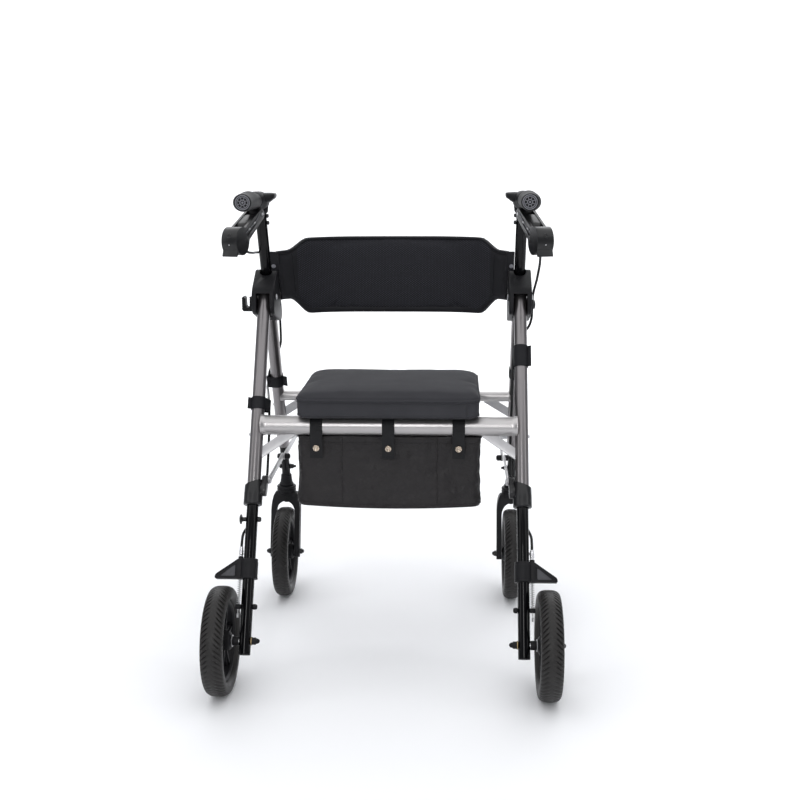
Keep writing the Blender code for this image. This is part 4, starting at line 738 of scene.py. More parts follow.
elbow = stay_pivot.lerp(front_stay_pivot, elbow_share)
for end_name, pivot, plane, way, cap_height in (
    ("rear", stay_pivot, rear_stay_x, 1, 0.009),
    ("front", front_stay_pivot, front_stay_x, -1, 0.011),
):
    half = stay_thickness / 2
    body = f"{end_name}_stay_link_*"
    plate = stretched([(pivot.y, pivot.z, stay_width / 2), (elbow.y, elbow.z, stay_width / 2)], plane - half,
                      plane + half, 0.0006, 2)
    hole = crossrod(Vector((plane, pivot.y, pivot.z)), 0.01, 0.0042, 24, 0)
    pair(f"{end_name}_stay_link_plate", carved(plate, hole), pale_strip, body, f"{end_name}_stay")
    outline = [(0, cap_height), (elbow_cap_radius * 0.62, cap_height - 0.0002),
               (elbow_cap_radius, cap_height - 0.0028), (elbow_cap_radius, 0.0016),
               (elbow_cap_radius + 0.0008, 0.001), (elbow_cap_radius + 0.0008, -0.0003), (0, -0.0003)]
    seat = Vector((plane + way * half, elbow.y, elbow.z))
    cap = turned(outline, 0.0006, crosswise(seat, way), 40)
    pair(f"{end_name}_elbow_cap", cap, moulded, body)


# Rear lower legs: 22 mm tube in gloss black lacquer that telescopes in the leg above, with a spring
# button, a plug in its foot and bolts for the brake spring and the cane's cup.

lower_leg_foot = 0.079
lower_leg_top = 0.466
pole_wall = 0.0014
spring_bolt_height = 0.155
cup_bolt_height = 0.3
wire_x = leg_x + 0.0165
rear_wheel_centre = joint_at("rear_wheel_spin_right")

black_lacquer = Finish("black_lacquer", "black_lacquer", (0.0022, 0.0022, 0.0028), specular=0.06, coat=0.3,
                       coat_roughness=0.04)
orange_peel = black_lacquer.cloud(420)
black_lacquer.wears(0.13 + orange_peel * 0.07)
black_lacquer.relief(orange_peel, 0.00003, 0.25)


def height_button(place, tube_radius, proud):
    """A spring button in a lower leg, which stands out through a hole of the leg above."""
    return rod(place + across * (tube_radius - 0.0008), place + across * (leg_radius + proud), button_radius,
               24, 0.0012)


def up_rear_leg(distance, x=leg_x):
    """The point this far up a rear leg's centre line from the axle."""
    return Vector((x, rear_wheel_centre.y, rear_wheel_centre.z)) + rear_up * distance


spring_bolt_up = (spring_bolt_height - rear_wheel_centre.z) / rear_up.z

body = "rear_lower_*"
foot, head = rear_leg_at(lower_leg_foot), rear_leg_at(lower_leg_top)
tube = pipe(foot, head, pole_radius, pole_radius - pole_wall, 0.0005)
plug = turned([(0, -0.0016), (pole_radius - 0.0001, -0.0016), (pole_radius - 0.0001, -0.0002), (0.0094, 0.0),
               (0.0094, 0.012), (0, 0.012)], 0.0005, stand(foot, rear_up), 48)
pair("rear_lower_tube", tube, black_lacquer, body, "rear_lower_leg")
pair("rear_foot_plug", plug, moulded, body)
button = height_button(rear_leg_at(button_height), pole_radius, 0.0026)
pair("rear_height_button", button, steel, body)
face = pole_radius + clearance
outline = [
    (0, 0.0215), (0.0045, 0.0215), (0.0045, face), (bolt_radius, face), (bolt_radius, -face), (0.0052, -face),
    (0.0052, -face - 0.0045), (0.004, -face - 0.0075), (0, -face - 0.0082),
]
bolt = turned(outline, 0.0008, crosswise(up_rear_leg(spring_bolt_up)), 32)
pair("spring_bolt_and_nut", bolt, moulded, body, "spring_bolt")


def knob(grip_radius, thickness, face, tip, start):
    """A bolt under a mushroom knob, along Z: the knob's outline runs down to the bolt's start."""
    return [(0, tip), (grip_radius * 0.5, tip - 0.0003), (grip_radius * 0.86, tip - 0.0014),
            (grip_radius, tip - thickness * 0.45), (grip_radius * 0.96, tip - thickness * 0.8),
            (grip_radius * 0.56, tip - thickness), (grip_radius * 0.42, tip - thickness - 0.0016),
            (grip_radius * 0.46, face), (bolt_radius, face), (bolt_radius, start)]


face = pole_radius + clearance
outline = knob(0.0095, 0.005, face, face + 0.0122, -face) + [
    (0.005, -face), (0.005, -face - 0.004), (0.0036, -face - 0.0062), (0, -face - 0.0068)]
cup_bolt = turned(outline, 0.0005, crosswise(rear_leg_at(cup_bolt_height)), 40)
dress("cane_cup_bolt_and_nut", handed(cup_bolt, -1), gloss, "rear_lower_left", ["cane_cup_bolt"])


# Wheels: 200 mm solid grey-black tyres on black six-spoke rims. The shoulders of the tread have short
# slanted grooves, and the middle is plain.

wheel_radius = 0.1
tyre_depth = 0.027
rear_tyre_width, front_tyre_width = 0.041, 0.036
spoke_count = 6
groove_count = 64
columns_per_groove = 6
groove_depth = 0.0024

tyre_rubber = Finish("tyre_rubber", "tyre_rubber", (0.022, 0.021, 0.021), specular=0.25)
dust = tyre_rubber.cloud(38, 4.0)
speck = tyre_rubber.cloud(700)
tyre_rubber.wears(0.32 + dust * 0.24, dust * 0.7 + speck * 0.3, (0.011, 0.0105, 0.0105),
                  (0.034, 0.032, 0.031))
tyre_rubber.relief(speck, 0.00008, 0.4)


def bowed(value, power):
    """The value raised to a power, with its own sign."""
    return math.copysign(abs(value) ** power, value)


def tyre(width):
    """A tyre about Z: a full round section, whose shoulders are cut by slanted grooves."""
    middle = wheel_radius - tyre_depth / 2
    square = 0.76
    outline = []
    for step in range(44):
        turn = 2 * math.pi * step / 44
        sideways, outwards = math.cos(turn), math.sin(turn)
        outline.append((middle + bowed(outwards, square) * tyre_depth / 2,
                        bowed(sideways, square) * width / 2))
    steps = groove_count * columns_per_groove
    shape = spun(outline, None, steps, closed=True)
    for vert in shape.verts:
        side_share = abs(vert.co.z) / (width / 2)
        radius = math.hypot(vert.co.x, vert.co.y)
        if radius < middle:
            continue
        turn = math.atan2(vert.co.y, vert.co.x)
        column = round(turn / (2 * math.pi) * steps) % columns_per_groove
        edge = min(1.0, max(0.0, (side_share - 0.26) / 0.1), max(0.0, (0.93 - side_share) / 0.07))
        cut = {0: 1.0, 1: 0.75}.get(column, 0.0) * groove_depth * edge
        slant = math.copysign(min(side_share, 0.95) * width / 2 * 0.95 / wheel_radius, vert.co.z)
        twisted = turn + abs(slant)
        depth_share = (radius - cut) / radius
        vert.co.x = radius * depth_share * math.cos(twisted)
        vert.co.y = radius * depth_share * math.sin(twisted)
    return shape


def rim():
    """A rim about Z with six spokes, and its hub with a bearing at each end."""
    outer = wheel_radius - tyre_depth - clearance
    half, wall = 0.013, 0.006
    seat = [(outer, half), (outer, -half), (outer - 0.003, -half), (outer - wall, -half + 0.0035),
            (outer - wall + 0.0018, 0), (outer - wall, half - 0.0035), (outer - 0.003, half)]
    ring = turned(seat, 0.0008, None, 120, closed=True)
    hub = [(0.0125, 0.02), (0.017, 0.0165), (0.017, -0.0165), (0.0125, -0.02), (0.0045, -0.02),
           (0.0045, 0.02)]
    parts = [ring, turned(hub, 0.0012, None, 64, closed=True)]
    for spoke in range(spoke_count):
        root, tip = 0.014, outer - wall * 0.6
        flat = [(root, -0.0085), (0.028, -0.0058), (tip - 0.008, -0.005), (tip, -0.0085), (tip, 0.0085),
                (tip - 0.008, 0.005), (0.028, 0.0058), (root, 0.0085)]
        turn = Matrix.Rotation(2 * math.pi * (spoke + 0.5) / spoke_count, 4, "Z")
        parts.append(slab(eased(flat, 0.004, True), -0.0045, 0.0045, turn, 0.0014, 2))
        rib = [(root, -0.0022), (tip, -0.0022), (tip, 0.0022), (root, 0.0022)]
        parts.append(slab(rib, -0.008, 0.008, turn, 0.0008, 1))
    return together(*parts)


def cap_nut(radius, length, ease, place, collar=0.0022):
    """A closed nut, from its seat at 0 up to its point."""
    outline = [(radius * 1.12, 0), (radius * 1.12, collar), (radius, collar + 0.0002),
               (radius, length * 0.52), (radius * 0.8, length * 0.6), (radius * 0.62, length * 0.86),
               (radius * 0.3, length * 0.98), (0, length)]
    return spun(eased(outline, ease) + [Vector((0, 0))], place, 32)


bearing = Finish("brass_washer", "zinc_steel", (0.4, 0.3, 0.16), 1.0)
bearing.mottled(600, 2.0, 0.3, 0.2)

front_wheel_centre = joint_at("front_wheel_spin_right")
for end_name, centre, width in (
    ("rear", rear_wheel_centre, rear_tyre_width),
    ("front", front_wheel_centre, front_tyre_width),
):
    for part, label, shape, finish, crease in (
        ("tyre", "tread", tyre(width), tyre_rubber, 50),
        ("rim", "spokes", rim(), moulded, 35),
    ):
        bmesh.ops.transform(shape, matrix=crosswise(centre), verts=shape.verts)
        pair(f"{end_name}_{part}_{label}", shape, finish, f"{end_name}_wheel_*", f"{end_name}_{part}", crease)

hub_face = 0.0203
body = "rear_lower_*"
x = rear_wheel_centre.x
tube_face = leg_x + pole_radius + clearance - x
inner_face = leg_x - pole_radius - clearance - x
place = crosswise(rear_wheel_centre)
inward = place @ Matrix.Translation((0, 0, inner_face)) @ Matrix.Rotation(math.pi, 4, "X")
spacer = turned([(0.0047, tube_face), (0.0085, tube_face), (0.0085, -hub_face - 0.0016),
                 (0.0047, -hub_face - 0.0016)], 0.0006, place, 40, closed=True)
nuts = [cap_nut(0.0066, 0.016, 0.0006, inward),
        cap_nut(0.0064, 0.011, 0.0006, place @ Matrix.Translation((0, 0, hub_face)))]
pair("axle_spacer_and_caps", together(spacer, *nuts), moulded, body)
washer = turned([(0.0042, -0.0015), (0.0112, -0.0015), (0.0112, 0), (0.0042, 0)], 0.0003,
                place @ Matrix.Translation((0, 0, -hub_face)), 40, closed=True)
core = rod(place @ Vector((0, 0, inner_face + 0.001)), place @ Vector((0, 0, hub_face + 0.001)), 0.004)
pair("rear_axle_and_washer", together(core, washer), steel, body, "rear_axle")
ring = turned([(0.0045, 0), (0.0078, 0), (0.0078, 0.0016), (0.0045, 0.0016)], 0.0003, inward, 32, closed=True)
pair("axle_ring", ring, bearing, body)


# Front lower legs: 19 mm tube in gloss black lacquer, bent upright over the caster, with a moulded bell
# at its foot, a spring button near its top and a bolt with cap nuts through the bend.

swivel = joint_at("caster_swivel_right")
crown_height = 0.0125
bend_above_crown = 0.045
bend_radius = 0.07
bell_radius = 0.0162
bell_height = 0.026


def wound(points, radius, smooth=3):
    """A round cord along the points, with closed ends."""
    line = bpy.data.curves.new("line", "CURVE")
    line.dimensions = "3D"
    line.bevel_depth = radius
    line.bevel_resolution = smooth
    line.use_fill_caps = True
    run = line.splines.new("POLY")
    run.points.add(len(points) - 1)
    for spot, point in zip(run.points, points):
        spot.co = (*point, 1)
    return taken(link(bpy.data.objects.new("line", line)))


def front_lower_line():
    """The front lower leg's centre line: down the leg's own line, round the bend and straight down."""
    angle = math.atan2(-front_up.y, front_up.z)
    tangent = bend_radius * math.tan(angle / 2)
    bend = Vector((leg_x, swivel.y, swivel.z + bend_above_crown))
    centre = Vector((leg_x, swivel.y - bend_radius, bend.z - tangent))
    points = [front_leg_at(lower_leg_top - 0.002), bend + front_up * (tangent + 0.02),
              bend + front_up * tangent]
    for step in range(1, 12):
        turn = angle * (1 - step / 12)
        points.append(centre + Vector((0, math.cos(turn), math.sin(turn))) * bend_radius)
    points.append(Vector((leg_x, swivel.y, centre.z)))
    points.append(swivel + upward * (crown_height + 0.0043))
    return points


body = "front_lower_*"
tube = wound(front_lower_line(), lower_tube_radius, smooth=10)
guide_top = front_leg_at(lower_leg_top)
guide = pipe(guide_top - front_up * 0.02, guide_top, pole_radius, lower_tube_radius - 0.001)
pair("front_lower_tube", tube, black_lacquer, body, "front_lower_leg")
outline = [
    (lower_tube_radius - 0.0004, bell_height), (lower_tube_radius + 0.0016, bell_height),
    (lower_tube_radius + 0.0024, bell_height - 0.0025), (lower_tube_radius + 0.003, bell_height - 0.01),
    (bell_radius - 0.0022, 0.0065), (bell_radius - 0.0004, 0.005), (bell_radius, 0.003), (bell_radius, 0),
    (0.007, 0), (0.007, 0.01), (lower_tube_radius - 0.0004, 0.012),
]
bell = turned(outline, 0.0012, stand(swivel + upward * (crown_height + clearance), upward), 56, closed=True)
pair("caster_bell", together(bell, guide), moulded, body)
button = height_button(front_leg_at(button_height), lower_tube_radius, 0.0022)
pair("front_height_button", button, steel, body)
face = lower_tube_radius + clearance
outline = [
    (0, face + 0.005), (0.0032, face + 0.0048), (0.0052, face + 0.0032), (0.0056, face + 0.0002),
    (0.0056, face), (bolt_radius, face), (bolt_radius, -face), (0.0062, -face), (0.0062, -face - 0.0014),
    (0.0054, -face - 0.0016), (0.0054, -face - 0.006), (0.004, -face - 0.0084), (0.0029, -face - 0.0096),
    (0.0026, -face - 0.0136), (0, -face - 0.0138),
]
bend_bolt = turned(outline, 0.0006, crosswise(front_leg_at(swivel.z + bend_above_crown + 0.013)), 32)
pair("bend_bolt_and_nut", bend_bolt, gloss, body, "housing_bolt")


# Casters: a moulded black fork leans back from its crown to the wheel, and its stem turns in the bell
# above. The wheel runs on a bolt with a cap nut on each side.

fork_half_width = 0.0325
fork_arm = 0.011
crown_radius = 0.0215
stem_radius = 0.006

body = "caster_*"
inner, foot, shoulder = fork_half_width - fork_arm, wheel_radius - 0.0145, swivel.z - 0.044
narrow = crown_radius - 0.001
outside = [(fork_half_width, foot), (fork_half_width, foot + 0.05)]
for step in range(15):
    turn = math.pi / 2 * step / 14
    outside.append((narrow + (fork_half_width - narrow) * math.cos(turn),
                    shoulder + (swivel.z - shoulder) * math.sin(turn)))
outline = outside + [(-x, z) for x, z in reversed(outside)]
arch = []
for step in range(25):
    turn = math.pi * step / 24
    arch.append((-inner * math.cos(turn), shoulder - 0.003 + 0.0265 * math.sin(turn)))
outline += [(-inner, foot), *arch, (inner, foot)]
lean = Matrix.Identity(4)
lean[1][2] = (swivel.y - front_wheel_centre.y) / (swivel.z - wheel_radius)
place = (Matrix.Translation(swivel) @ lean @ Matrix.Translation((0, 0, -swivel.z))
         @ stand((0, 0, 0), (0, -1, 0), across))
arms = slab(outline, -0.014, 0.014, place)
top_y = swivel.y - 0.0045
profile = stretched([(front_wheel_centre.y, wheel_radius, 0.0135), (top_y, swivel.z - 0.014, 0.0135)],
                    leg_x - 0.05, leg_x + 0.05, points=64)
arms = soften(carved(arms, profile, operation="INTERSECT"), 0.003, 4, 40)
outline = [
    (0, crown_height), (crown_radius - 0.0012, crown_height), (crown_radius, crown_height - 0.0014),
    (crown_radius, 0.0078), (crown_radius - 0.0013, 0.007), (crown_radius - 0.0013, 0.006),
    (crown_radius, 0.0052), (crown_radius, 0.0004), (crown_radius - 0.0012, -0.003), (0.015, -0.0085),
    (0.0092, -0.013), (0.0082, -0.024), (0.006, -0.0268), (0, -0.0272),
]
crown = turned(outline, 0.0008, stand(swivel, upward), 64)
web = stretched([(swivel.y, swivel.z - 0.006, 0.0175), (swivel.y - 0.004, swivel.z - 0.013, 0.011)],
                leg_x - 0.017, leg_x + 0.017, 0.003)
pair("caster_fork_arms", together(arms, crown, web), moulded, body, "caster_fork")
stem = rod(swivel + upward * (crown_height - 0.001), swivel + upward * 0.04, stem_radius, 32, 0.001)
pair("caster_stem", stem, steel, body)
face = fork_half_width + clearance
core = crossrod(front_wheel_centre, face + 0.004, 0.0039)
outline = [(0.0041, hub_face), (0.0078, hub_face), (0.0078, 0.0216), (0.0041, 0.0216)]
spacers = [turned(outline, 0.0002, crosswise(front_wheel_centre, way), 32, closed=True) for way in (-1, 1)]
pair("front_axle_bolt", together(core, *spacers), steel, body, "front_axle")
nuts = [cap_nut(0.006, 0.0098, 0.0005, crosswise(front_wheel_centre + across * way * face, way), 0.0016)
        for way in (-1, 1)]
pair("front_axle_caps", together(*nuts), gloss, body)


# Brake shoes: a black moulded sleeve slides on each rear lower leg. Its fin stands over the tyre and
# has a raised rim round a recess, and a boss along its root carries the brake wire.

shoe_clearance = 0.0135
shoe_length = 0.0375
shoe_radius = 0.0165
shoe_reach = 0.0625
shoe_depth = 0.018
shoe_boss = 0.0045
shoe_bottom = wheel_radius + shoe_clearance
wire_radius = 0.0008

recess_grey = Finish("worn_moulding", "black_plastic", (0.05, 0.05, 0.054), specular=0.25)
recess_grey.mottled(220, 3.0, 0.46, 0.14, (0.06, 0.06, 0.066), (0.094, 0.094, 0.102))
recess_grey.relief(recess_grey.cloud(1500), 0.00006, 0.5)

body = "shoe_*"
place = stand(up_rear_leg(shoe_bottom), rear_up)
bore = pole_radius + 0.0004
outline = [
    (bore, 0), (shoe_radius + 0.0005, 0), (shoe_radius + 0.0005, 0.0022), (shoe_radius, 0.0036),
    (shoe_radius, shoe_length - 0.006), (shoe_radius - 0.0005, shoe_length - 0.0052),
    (shoe_radius - 0.0005, shoe_length), (bore, shoe_length),
]
sleeve = turned(outline, 0.0007, place, 56, closed=True)
root, half = pole_radius + 0.002, shoe_depth / 2
outline = eased([
    (root, 0.0003), (shoe_reach - 0.0008, 0.0003), (shoe_reach, 0.002), (shoe_reach - 0.001, 0.008),
    (0.03, 0.03), (0.02, shoe_length - 0.0002), (root, shoe_length - 0.0002),
], 0.003, True, 4)
upright = place @ stand((0, 0, 0), (0, -1, 0), across)
fin = slab(outline, -half, half, upright)
pocket = eased([(0.0242, 0.0042), (0.0545, 0.0042), (0.03, 0.0245), (0.0242, 0.0275)], 0.0022, True, 3)
recess = 0.0026
pockets = [slab(pocket, low, low + 0.009, upright) for low in (-half - 0.009 + recess, half - recess)]
fin = soften(carved(fin, *pockets), 0.0006, 2, 50)
boss_top = up_rear_leg(shoe_bottom + shoe_length + shoe_boss, wire_x)
boss = pipe(up_rear_leg(shoe_bottom + 0.0002, wire_x), boss_top, 0.0048, wire_radius + clearance, 0.0006, 32)
pair("brake_shoe_sleeve", together(sleeve, fin, boss), moulded, body, "brake_shoe")
inset = eased([(0.0252, 0.005), (0.0528, 0.005), (0.0298, 0.0236), (0.0252, 0.0262)], 0.0022, True, 3)
panels = [slab(inset, way * (half - recess - 0.0002) - 0.0004, way * (half - recess - 0.0002) + 0.0004,
               upright) for way in (-1, 1)]
pair("brake_shoe_recess", together(*panels), recess_grey, body)


# Brake springs: bright wire coiled round the brake wire, pressed between the bolt's sleeve and the shoe.

spring_radius = 0.0034
spring_wire = 0.0005
spring_curls = 13


def within(value, low, high):
    """The value, or the end of the span that it has passed."""
    return min(max(value, low), high)


spring_low = spring_bolt_up + 0.0048
spring_high = shoe_bottom - clearance
spring_tall = spring_high - spring_low
place = stand(up_rear_leg(spring_low, wire_x), rear_up)
coil = []
for step in range(spring_curls * 16 + 1):
    turn = 2 * math.pi * step / 16
    share = step / (spring_curls * 16)
    closed = within((share - 0.08) / 0.84, 0, 1)
    rise = share * 0.25 + closed * 0.75
    coil.append(place @ Vector((spring_radius * math.cos(turn), spring_radius * math.sin(turn),
                                spring_wire + (spring_tall - 2 * spring_wire) * rise)))
springs = pair("brake_spring_coil", wound(coil, spring_wire, 2), steel, "rear_lower_*", "brake_spring", 80)
for name, side in sides.items():
    slide = f"brake_shoe_slide_{name}"
    travel = joints[slide]["range_m"][1]
    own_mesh(springs[name], slide, rear_up, up_rear_leg(spring_low, side * wire_x), 1 - travel / spring_tall)


# Brake cables: a 5 mm black housing runs from each lever through cloth straps to a bright barrel on the
# shoe. The bare wire goes on through the shoe and the spring to its end stop below the bolt.

cable_radius = 0.0025
barrel_radius = 0.0042
barrel_length = 0.018
left_route = [
    (0.2716, -0.0377, 0.845), (0.2775, -0.029, 0.815), (0.279, 0.0045, 0.795), (0.2755, 0.053, 0.788),
    (0.273, 0.08, 0.787), (0.261, 0.103, 0.784), (0.248, 0.128, 0.765), (0.24, 0.148, 0.725),
    (0.2385, 0.154, 0.6833), (0.2403, 0.161, 0.6406), (0.242, 0.176, 0.61), (0.245, 0.188, 0.585),
    (0.2575, 0.199, 0.555), (0.2712, 0.197, 0.525), (0.2728, 0.189, 0.505), (0.2715, 0.165, 0.497),
    (0.262, 0.112, 0.5), (0.248, 0.0325, 0.505), (0.2378, -0.0255, 0.5),
]
right_route = [
    (0.2716, -0.0377, 0.845), (0.282, -0.029, 0.815), (0.289, -0.0075, 0.784), (0.287, 0.0375, 0.74),
    (0.2822, 0.0775, 0.703), (0.2818, 0.094, 0.67), (0.2812, 0.0945, 0.654), (0.276, 0.0905, 0.638),
    (0.264, 0.08, 0.625), (0.252, 0.05, 0.612), (0.2425, 0.0175, 0.592), (0.239, -0.0075, 0.56),
    (0.238, -0.0245, 0.525), (0.2376, -0.032, 0.495),
]
lower_route = [
    (0.2365, -0.035, 0.465), (0.2346, -0.064, 0.418), (0.2347, -0.077, 0.39), (0.2354, -0.084, 0.37),
    (0.2375, -0.088, 0.358), (0.242, -0.1, 0.34), (0.25, -0.1145, 0.32), (0.256, -0.127, 0.298),
    (0.2655, -0.142, 0.283), (0.2712, -0.159, 0.274),
]

housing = Finish("cable_housing", "black_plastic", (0.01, 0.01, 0.011), specular=0.25)
housing.mottled(300, 2.0, 0.28, 0.14)

bright = Finish("bright_nickel", "zinc_steel", (0.74, 0.74, 0.76), 1.0)
bright.mottled(700, 2.0, 0.16, 0.16)


def curve_shares(t):
    """At t on a smooth curve, the shares of its two ends and of the slopes it leaves and arrives with."""
    return 2 * t**3 - 3 * t**2 + 1, 3 * t**2 - 2 * t**3, t**3 - 2 * t**2 + t, t**3 - t**2


def smooth_route(points, spacing):
    """Points about this far apart on the smooth curve through the route's own points."""
    spans = [(end - start).length for start, end in zip(points, points[1:])]
    aims = [(points[1] - points[0]) / spans[0]]
    for index in range(1, len(spans)):
        aims.append((points[index + 1] - points[index - 1]) / (spans[index - 1] + spans[index]))
    aims.append((points[-1] - points[-2]) / spans[-1])
    read = []
    for index, span in enumerate(spans):
        count = max(1, round(span / spacing))
        for step in range(count):
            near, far, leave, arrive = curve_shares(step / count)
            place = points[index] * near + points[index + 1] * far
            read.append(place + aims[index] * (leave * span) + aims[index + 1] * (arrive * span))
    return [*read, points[-1]]


def nearest(points, aim):
    """The number of the point that is nearest to the aim."""
    return min(range(len(points)), key=lambda number: (points[number] - Vector(aim)).length)


barrel_foot = shoe_bottom + shoe_length + shoe_boss + clearance
barrel_top = barrel_foot + barrel_length
for name, side, upper_route, frame_hold, leg_hold in (
    ("left", -1, left_route, (0.2728, 0.189, 0.505), (0.2378, -0.0255, 0.5)),
    ("right", 1, right_route, (0.2818, 0.094, 0.67), (0.239, -0.0075, 0.56)),
):
    route = [Vector(point) for point in upper_route + lower_route]
    route += [up_rear_leg(barrel_top + straight, wire_x) for straight in (4 * cable_radius, 0.0005)]
    line = smooth_route(route, 0.006)
    handle_hold = nearest(line, upper_route[3])
    ends = [0, nearest(line, frame_hold), nearest(line, leg_hold), nearest(line, lower_route[7]),
            len(line) - 1]
    leg_foot = nearest(line, lower_route[2])
    runs = (("upper", f"handle_{name}", "front_frame", line[2], line[handle_hold]),
            ("middle", "front_frame", "rear_frame", line[ends[1]], line[ends[2]]),
            ("lower", "rear_frame", f"rear_lower_{name}", line[leg_foot], line[ends[3]]),
            ("end", f"rear_lower_{name}", f"shoe_{name}", line[ends[3]], line[-2]))
    for (label, from_body, to_body, start, end), first, last in zip(runs, ends, ends[1:]):
        cord = handed(wound(line[first:last + 1], cable_radius, 4), side)
        nodes = [f"brake_cable_{name}"] if label == "upper" else ()
        piece = dress(f"cable_housing_{label}_{name}", cord, housing, None, nodes)
        mirror = Vector((side, 1, 1))
        start * mirror
        end * mirror
        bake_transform(piece)
place = stand(up_rear_leg(barrel_foot, wire_x), rear_up)
outline = [(0.0009, 0), (0.0034, 0), (0.0034, 0.003), (barrel_radius, 0.0032)]
for ridge in range(4):
    low = 0.0034 + ridge * 0.0018
    outline += [(barrel_radius, low + 0.001), (barrel_radius - 0.0005, low + 0.0012),
                (barrel_radius - 0.0005, low + 0.0016), (barrel_radius, low + 0.0018)]
outline += [(barrel_radius, 0.0112), (0.0034, 0.0114), (0.0034, barrel_length - 0.0012),
            (0.003, barrel_length), (0.0009, barrel_length)]
barrel = turned(outline, 0.0002, place, 32, closed=True, cuts=2)
pair("cable_barrel", barrel, bright, "shoe_*")
wire_foot, wire_top = spring_bolt_up - 0.02, barrel_top
wire = [up_rear_leg(distance, wire_x) for distance in (wire_top, spring_bolt_up - 0.012, wire_foot)]
stop = rod(up_rear_leg(wire_foot, wire_x), up_rear_leg(wire_foot + 0.0075, wire_x), 2.4 * wire_radius, 20)
pair("brake_wire", together(wound(wire, wire_radius), stop), steel, "rear_lower_*")


# Handle poles: 22 mm tube in gloss black lacquer that stands in the bracket and the front leg, with a
# row of holes for the handle's height bolt.

handle_bolt = front_leg_at(bolt_height)
hole_pitch = 0.025
pole_below_bolt = 0.1
lever_pivot = joint_at("brake_lever_hinge_right")
grip_z = lever_pivot.z + 0.025
pole_top = front_leg_at(grip_z - 0.019)

body = "handle_*"
foot = handle_bolt - front_up * pole_below_bolt
holes = []
for step in range(-1, 4):
    middle = handle_bolt + front_up * step * hole_pitch
    holes.append(crossrod(middle, 0.02, bolt_radius + 0.0002, 20, 0))
pole = carved(pipe(foot, pole_top, pole_radius, pole_radius - pole_wall), *holes)
pair("handle_pole_tube", pole, black_lacquer, body, "handle_pole")


# Handle heads: black mouldings on the poles, held by two round-headed screws inside. Each carries the
# grip's core, a flat wing for the thumb and the boss on whose pin the brake lever turns.

grip_x = lever_pivot.x
grip_front = pole_top.y - 0.0471
grip_length = 0.119
grip_end = grip_front - grip_length
grip_core = 0.011
lever_splay = math.radians(17.0)
lever_width = 0.031
lever_slot = 0.021
lever_pin_radius = 0.003
screw_drops = (0.012, 0.027)
wing_reach = 0.033


def lofted(rings):
    """A closed skin through rings of points."""
    shape = bmesh.new()
    loops, faces = [], []
    for ring in rings:
        verts = [shape.verts.new(point) for point in ring]
        loops.append([shape.edges.new(ends) for ends in zip(verts, verts[1:] + verts[:1])])
        faces.append(verts)
    for near, far in zip(loops, loops[1:]):
        bmesh.ops.bridge_loops(shape, edges=near + far)
    for verts in (faces[0], faces[-1]):
        shape.faces.new(verts)
    bmesh.ops.recalc_face_normals(shape, faces=shape.faces)
    return shape


def oval(centre, half_width, half_height, count):
    """A ring of points round the Y direction."""
    x, y, z = centre
    turns = [2 * math.pi * step / count for step in range(count)]
    return [(x + half_width * math.cos(turn), y, z + half_height * math.sin(turn)) for turn in turns]


def eased_sizes(stations, steps):
    """More stations, on smooth curves through the given ones; the first number runs along the piece."""
    line = []
    for index in range(len(stations) - 1):
        before, start = stations[max(index - 1, 0)], stations[index]
        end, after = stations[index + 1], stations[min(index + 2, len(stations) - 1)]
        for step in range(steps):
            near, far, leave, arrive = curve_shares(step / steps)
            line.append([a * near + b * far + (b - p) * 0.35 * leave + (n - a) * 0.35 * arrive
                         for p, a, b, n in zip(before, start, end, after)])
    return [*line, list(stations[-1])]


lever_frame = Matrix.Translation(lever_pivot) @ Matrix.Rotation(lever_splay, 4, "Z")
crown = pole_top + front_up * 0.006
body = "handle_*"
stations = [
    (grip_front + clearance, 0.015, 0.014, grip_x, 0.0), (grip_front + 0.002, 0.0166, 0.0156, grip_x, 0.0),
    (grip_front + 0.01, 0.0184, 0.017, grip_x - 0.001, 0.001), (crown.y - 0.02, 0.0192, 0.018, leg_x, 0.0),
    (crown.y - 0.008, 0.0196, 0.0185, leg_x, -0.0005), (crown.y + 0.006, 0.0184, 0.0174, leg_x, -0.0018),
    (crown.y + 0.014, 0.0145, 0.0136, leg_x, -0.0026), (crown.y + 0.0182, 0.009, 0.0084, leg_x, -0.003),
    (crown.y + 0.0192, 0.004, 0.0038, leg_x, -0.0032),
]
barrel = lofted([oval((x, y, grip_z + lift), wide, tall, 36)
                 for y, wide, tall, x, lift in eased_sizes(stations, 4)])
foot = pole_top - front_up * 0.004
outline = [(pole_radius + 0.0001, 0), (pole_radius + 0.0032, 0), (pole_radius + 0.0042, 0.0018),
           (pole_radius + 0.0056, 0.012), (pole_radius + 0.0001, 0.012)]
socket = turned(outline, 0.001, stand(foot, front_up), 48, closed=True)
plug = rod(pole_top - front_up * 0.036, crown, pole_radius - pole_wall - clearance, 32)
core = rod(Vector((grip_x, grip_end + 0.0142, grip_z)), Vector((grip_x, grip_front + 0.006, grip_z)),
           grip_core)
tip = leg_x - wing_reach
sections = [
    (leg_x + 0.006, 0.026, 0.0105, 0.004), (leg_x - 0.0115, 0.024, 0.0112, 0.0042),
    (leg_x - 0.0215, 0.0212, 0.0092, 0.0062), (tip + 0.005, 0.018, 0.0066, 0.0084),
    (tip + 0.0012, 0.016, 0.005, 0.0094), (tip, 0.013, 0.003, 0.01),
]
rings = []
for x, half_length, half_height, lift in eased_sizes(sections, 4):
    ring = []
    for step in range(32):
        turn = 2 * math.pi * step / 32
        ahead = bowed(math.cos(turn), 0.7) * half_length
        ring.append((x, crown.y - 0.01 + ahead, grip_z + lift + bowed(math.sin(turn), 0.8) * half_height))
    rings.append(ring)
wing = lofted(rings)
half = lever_slot / 2 - clearance
boss = stretched([(0, 0, 0.0085), (0.01, 0.016, 0.01)], -half, half, 0.0012, 2)
bmesh.ops.transform(boss, matrix=lever_frame, verts=boss.verts)
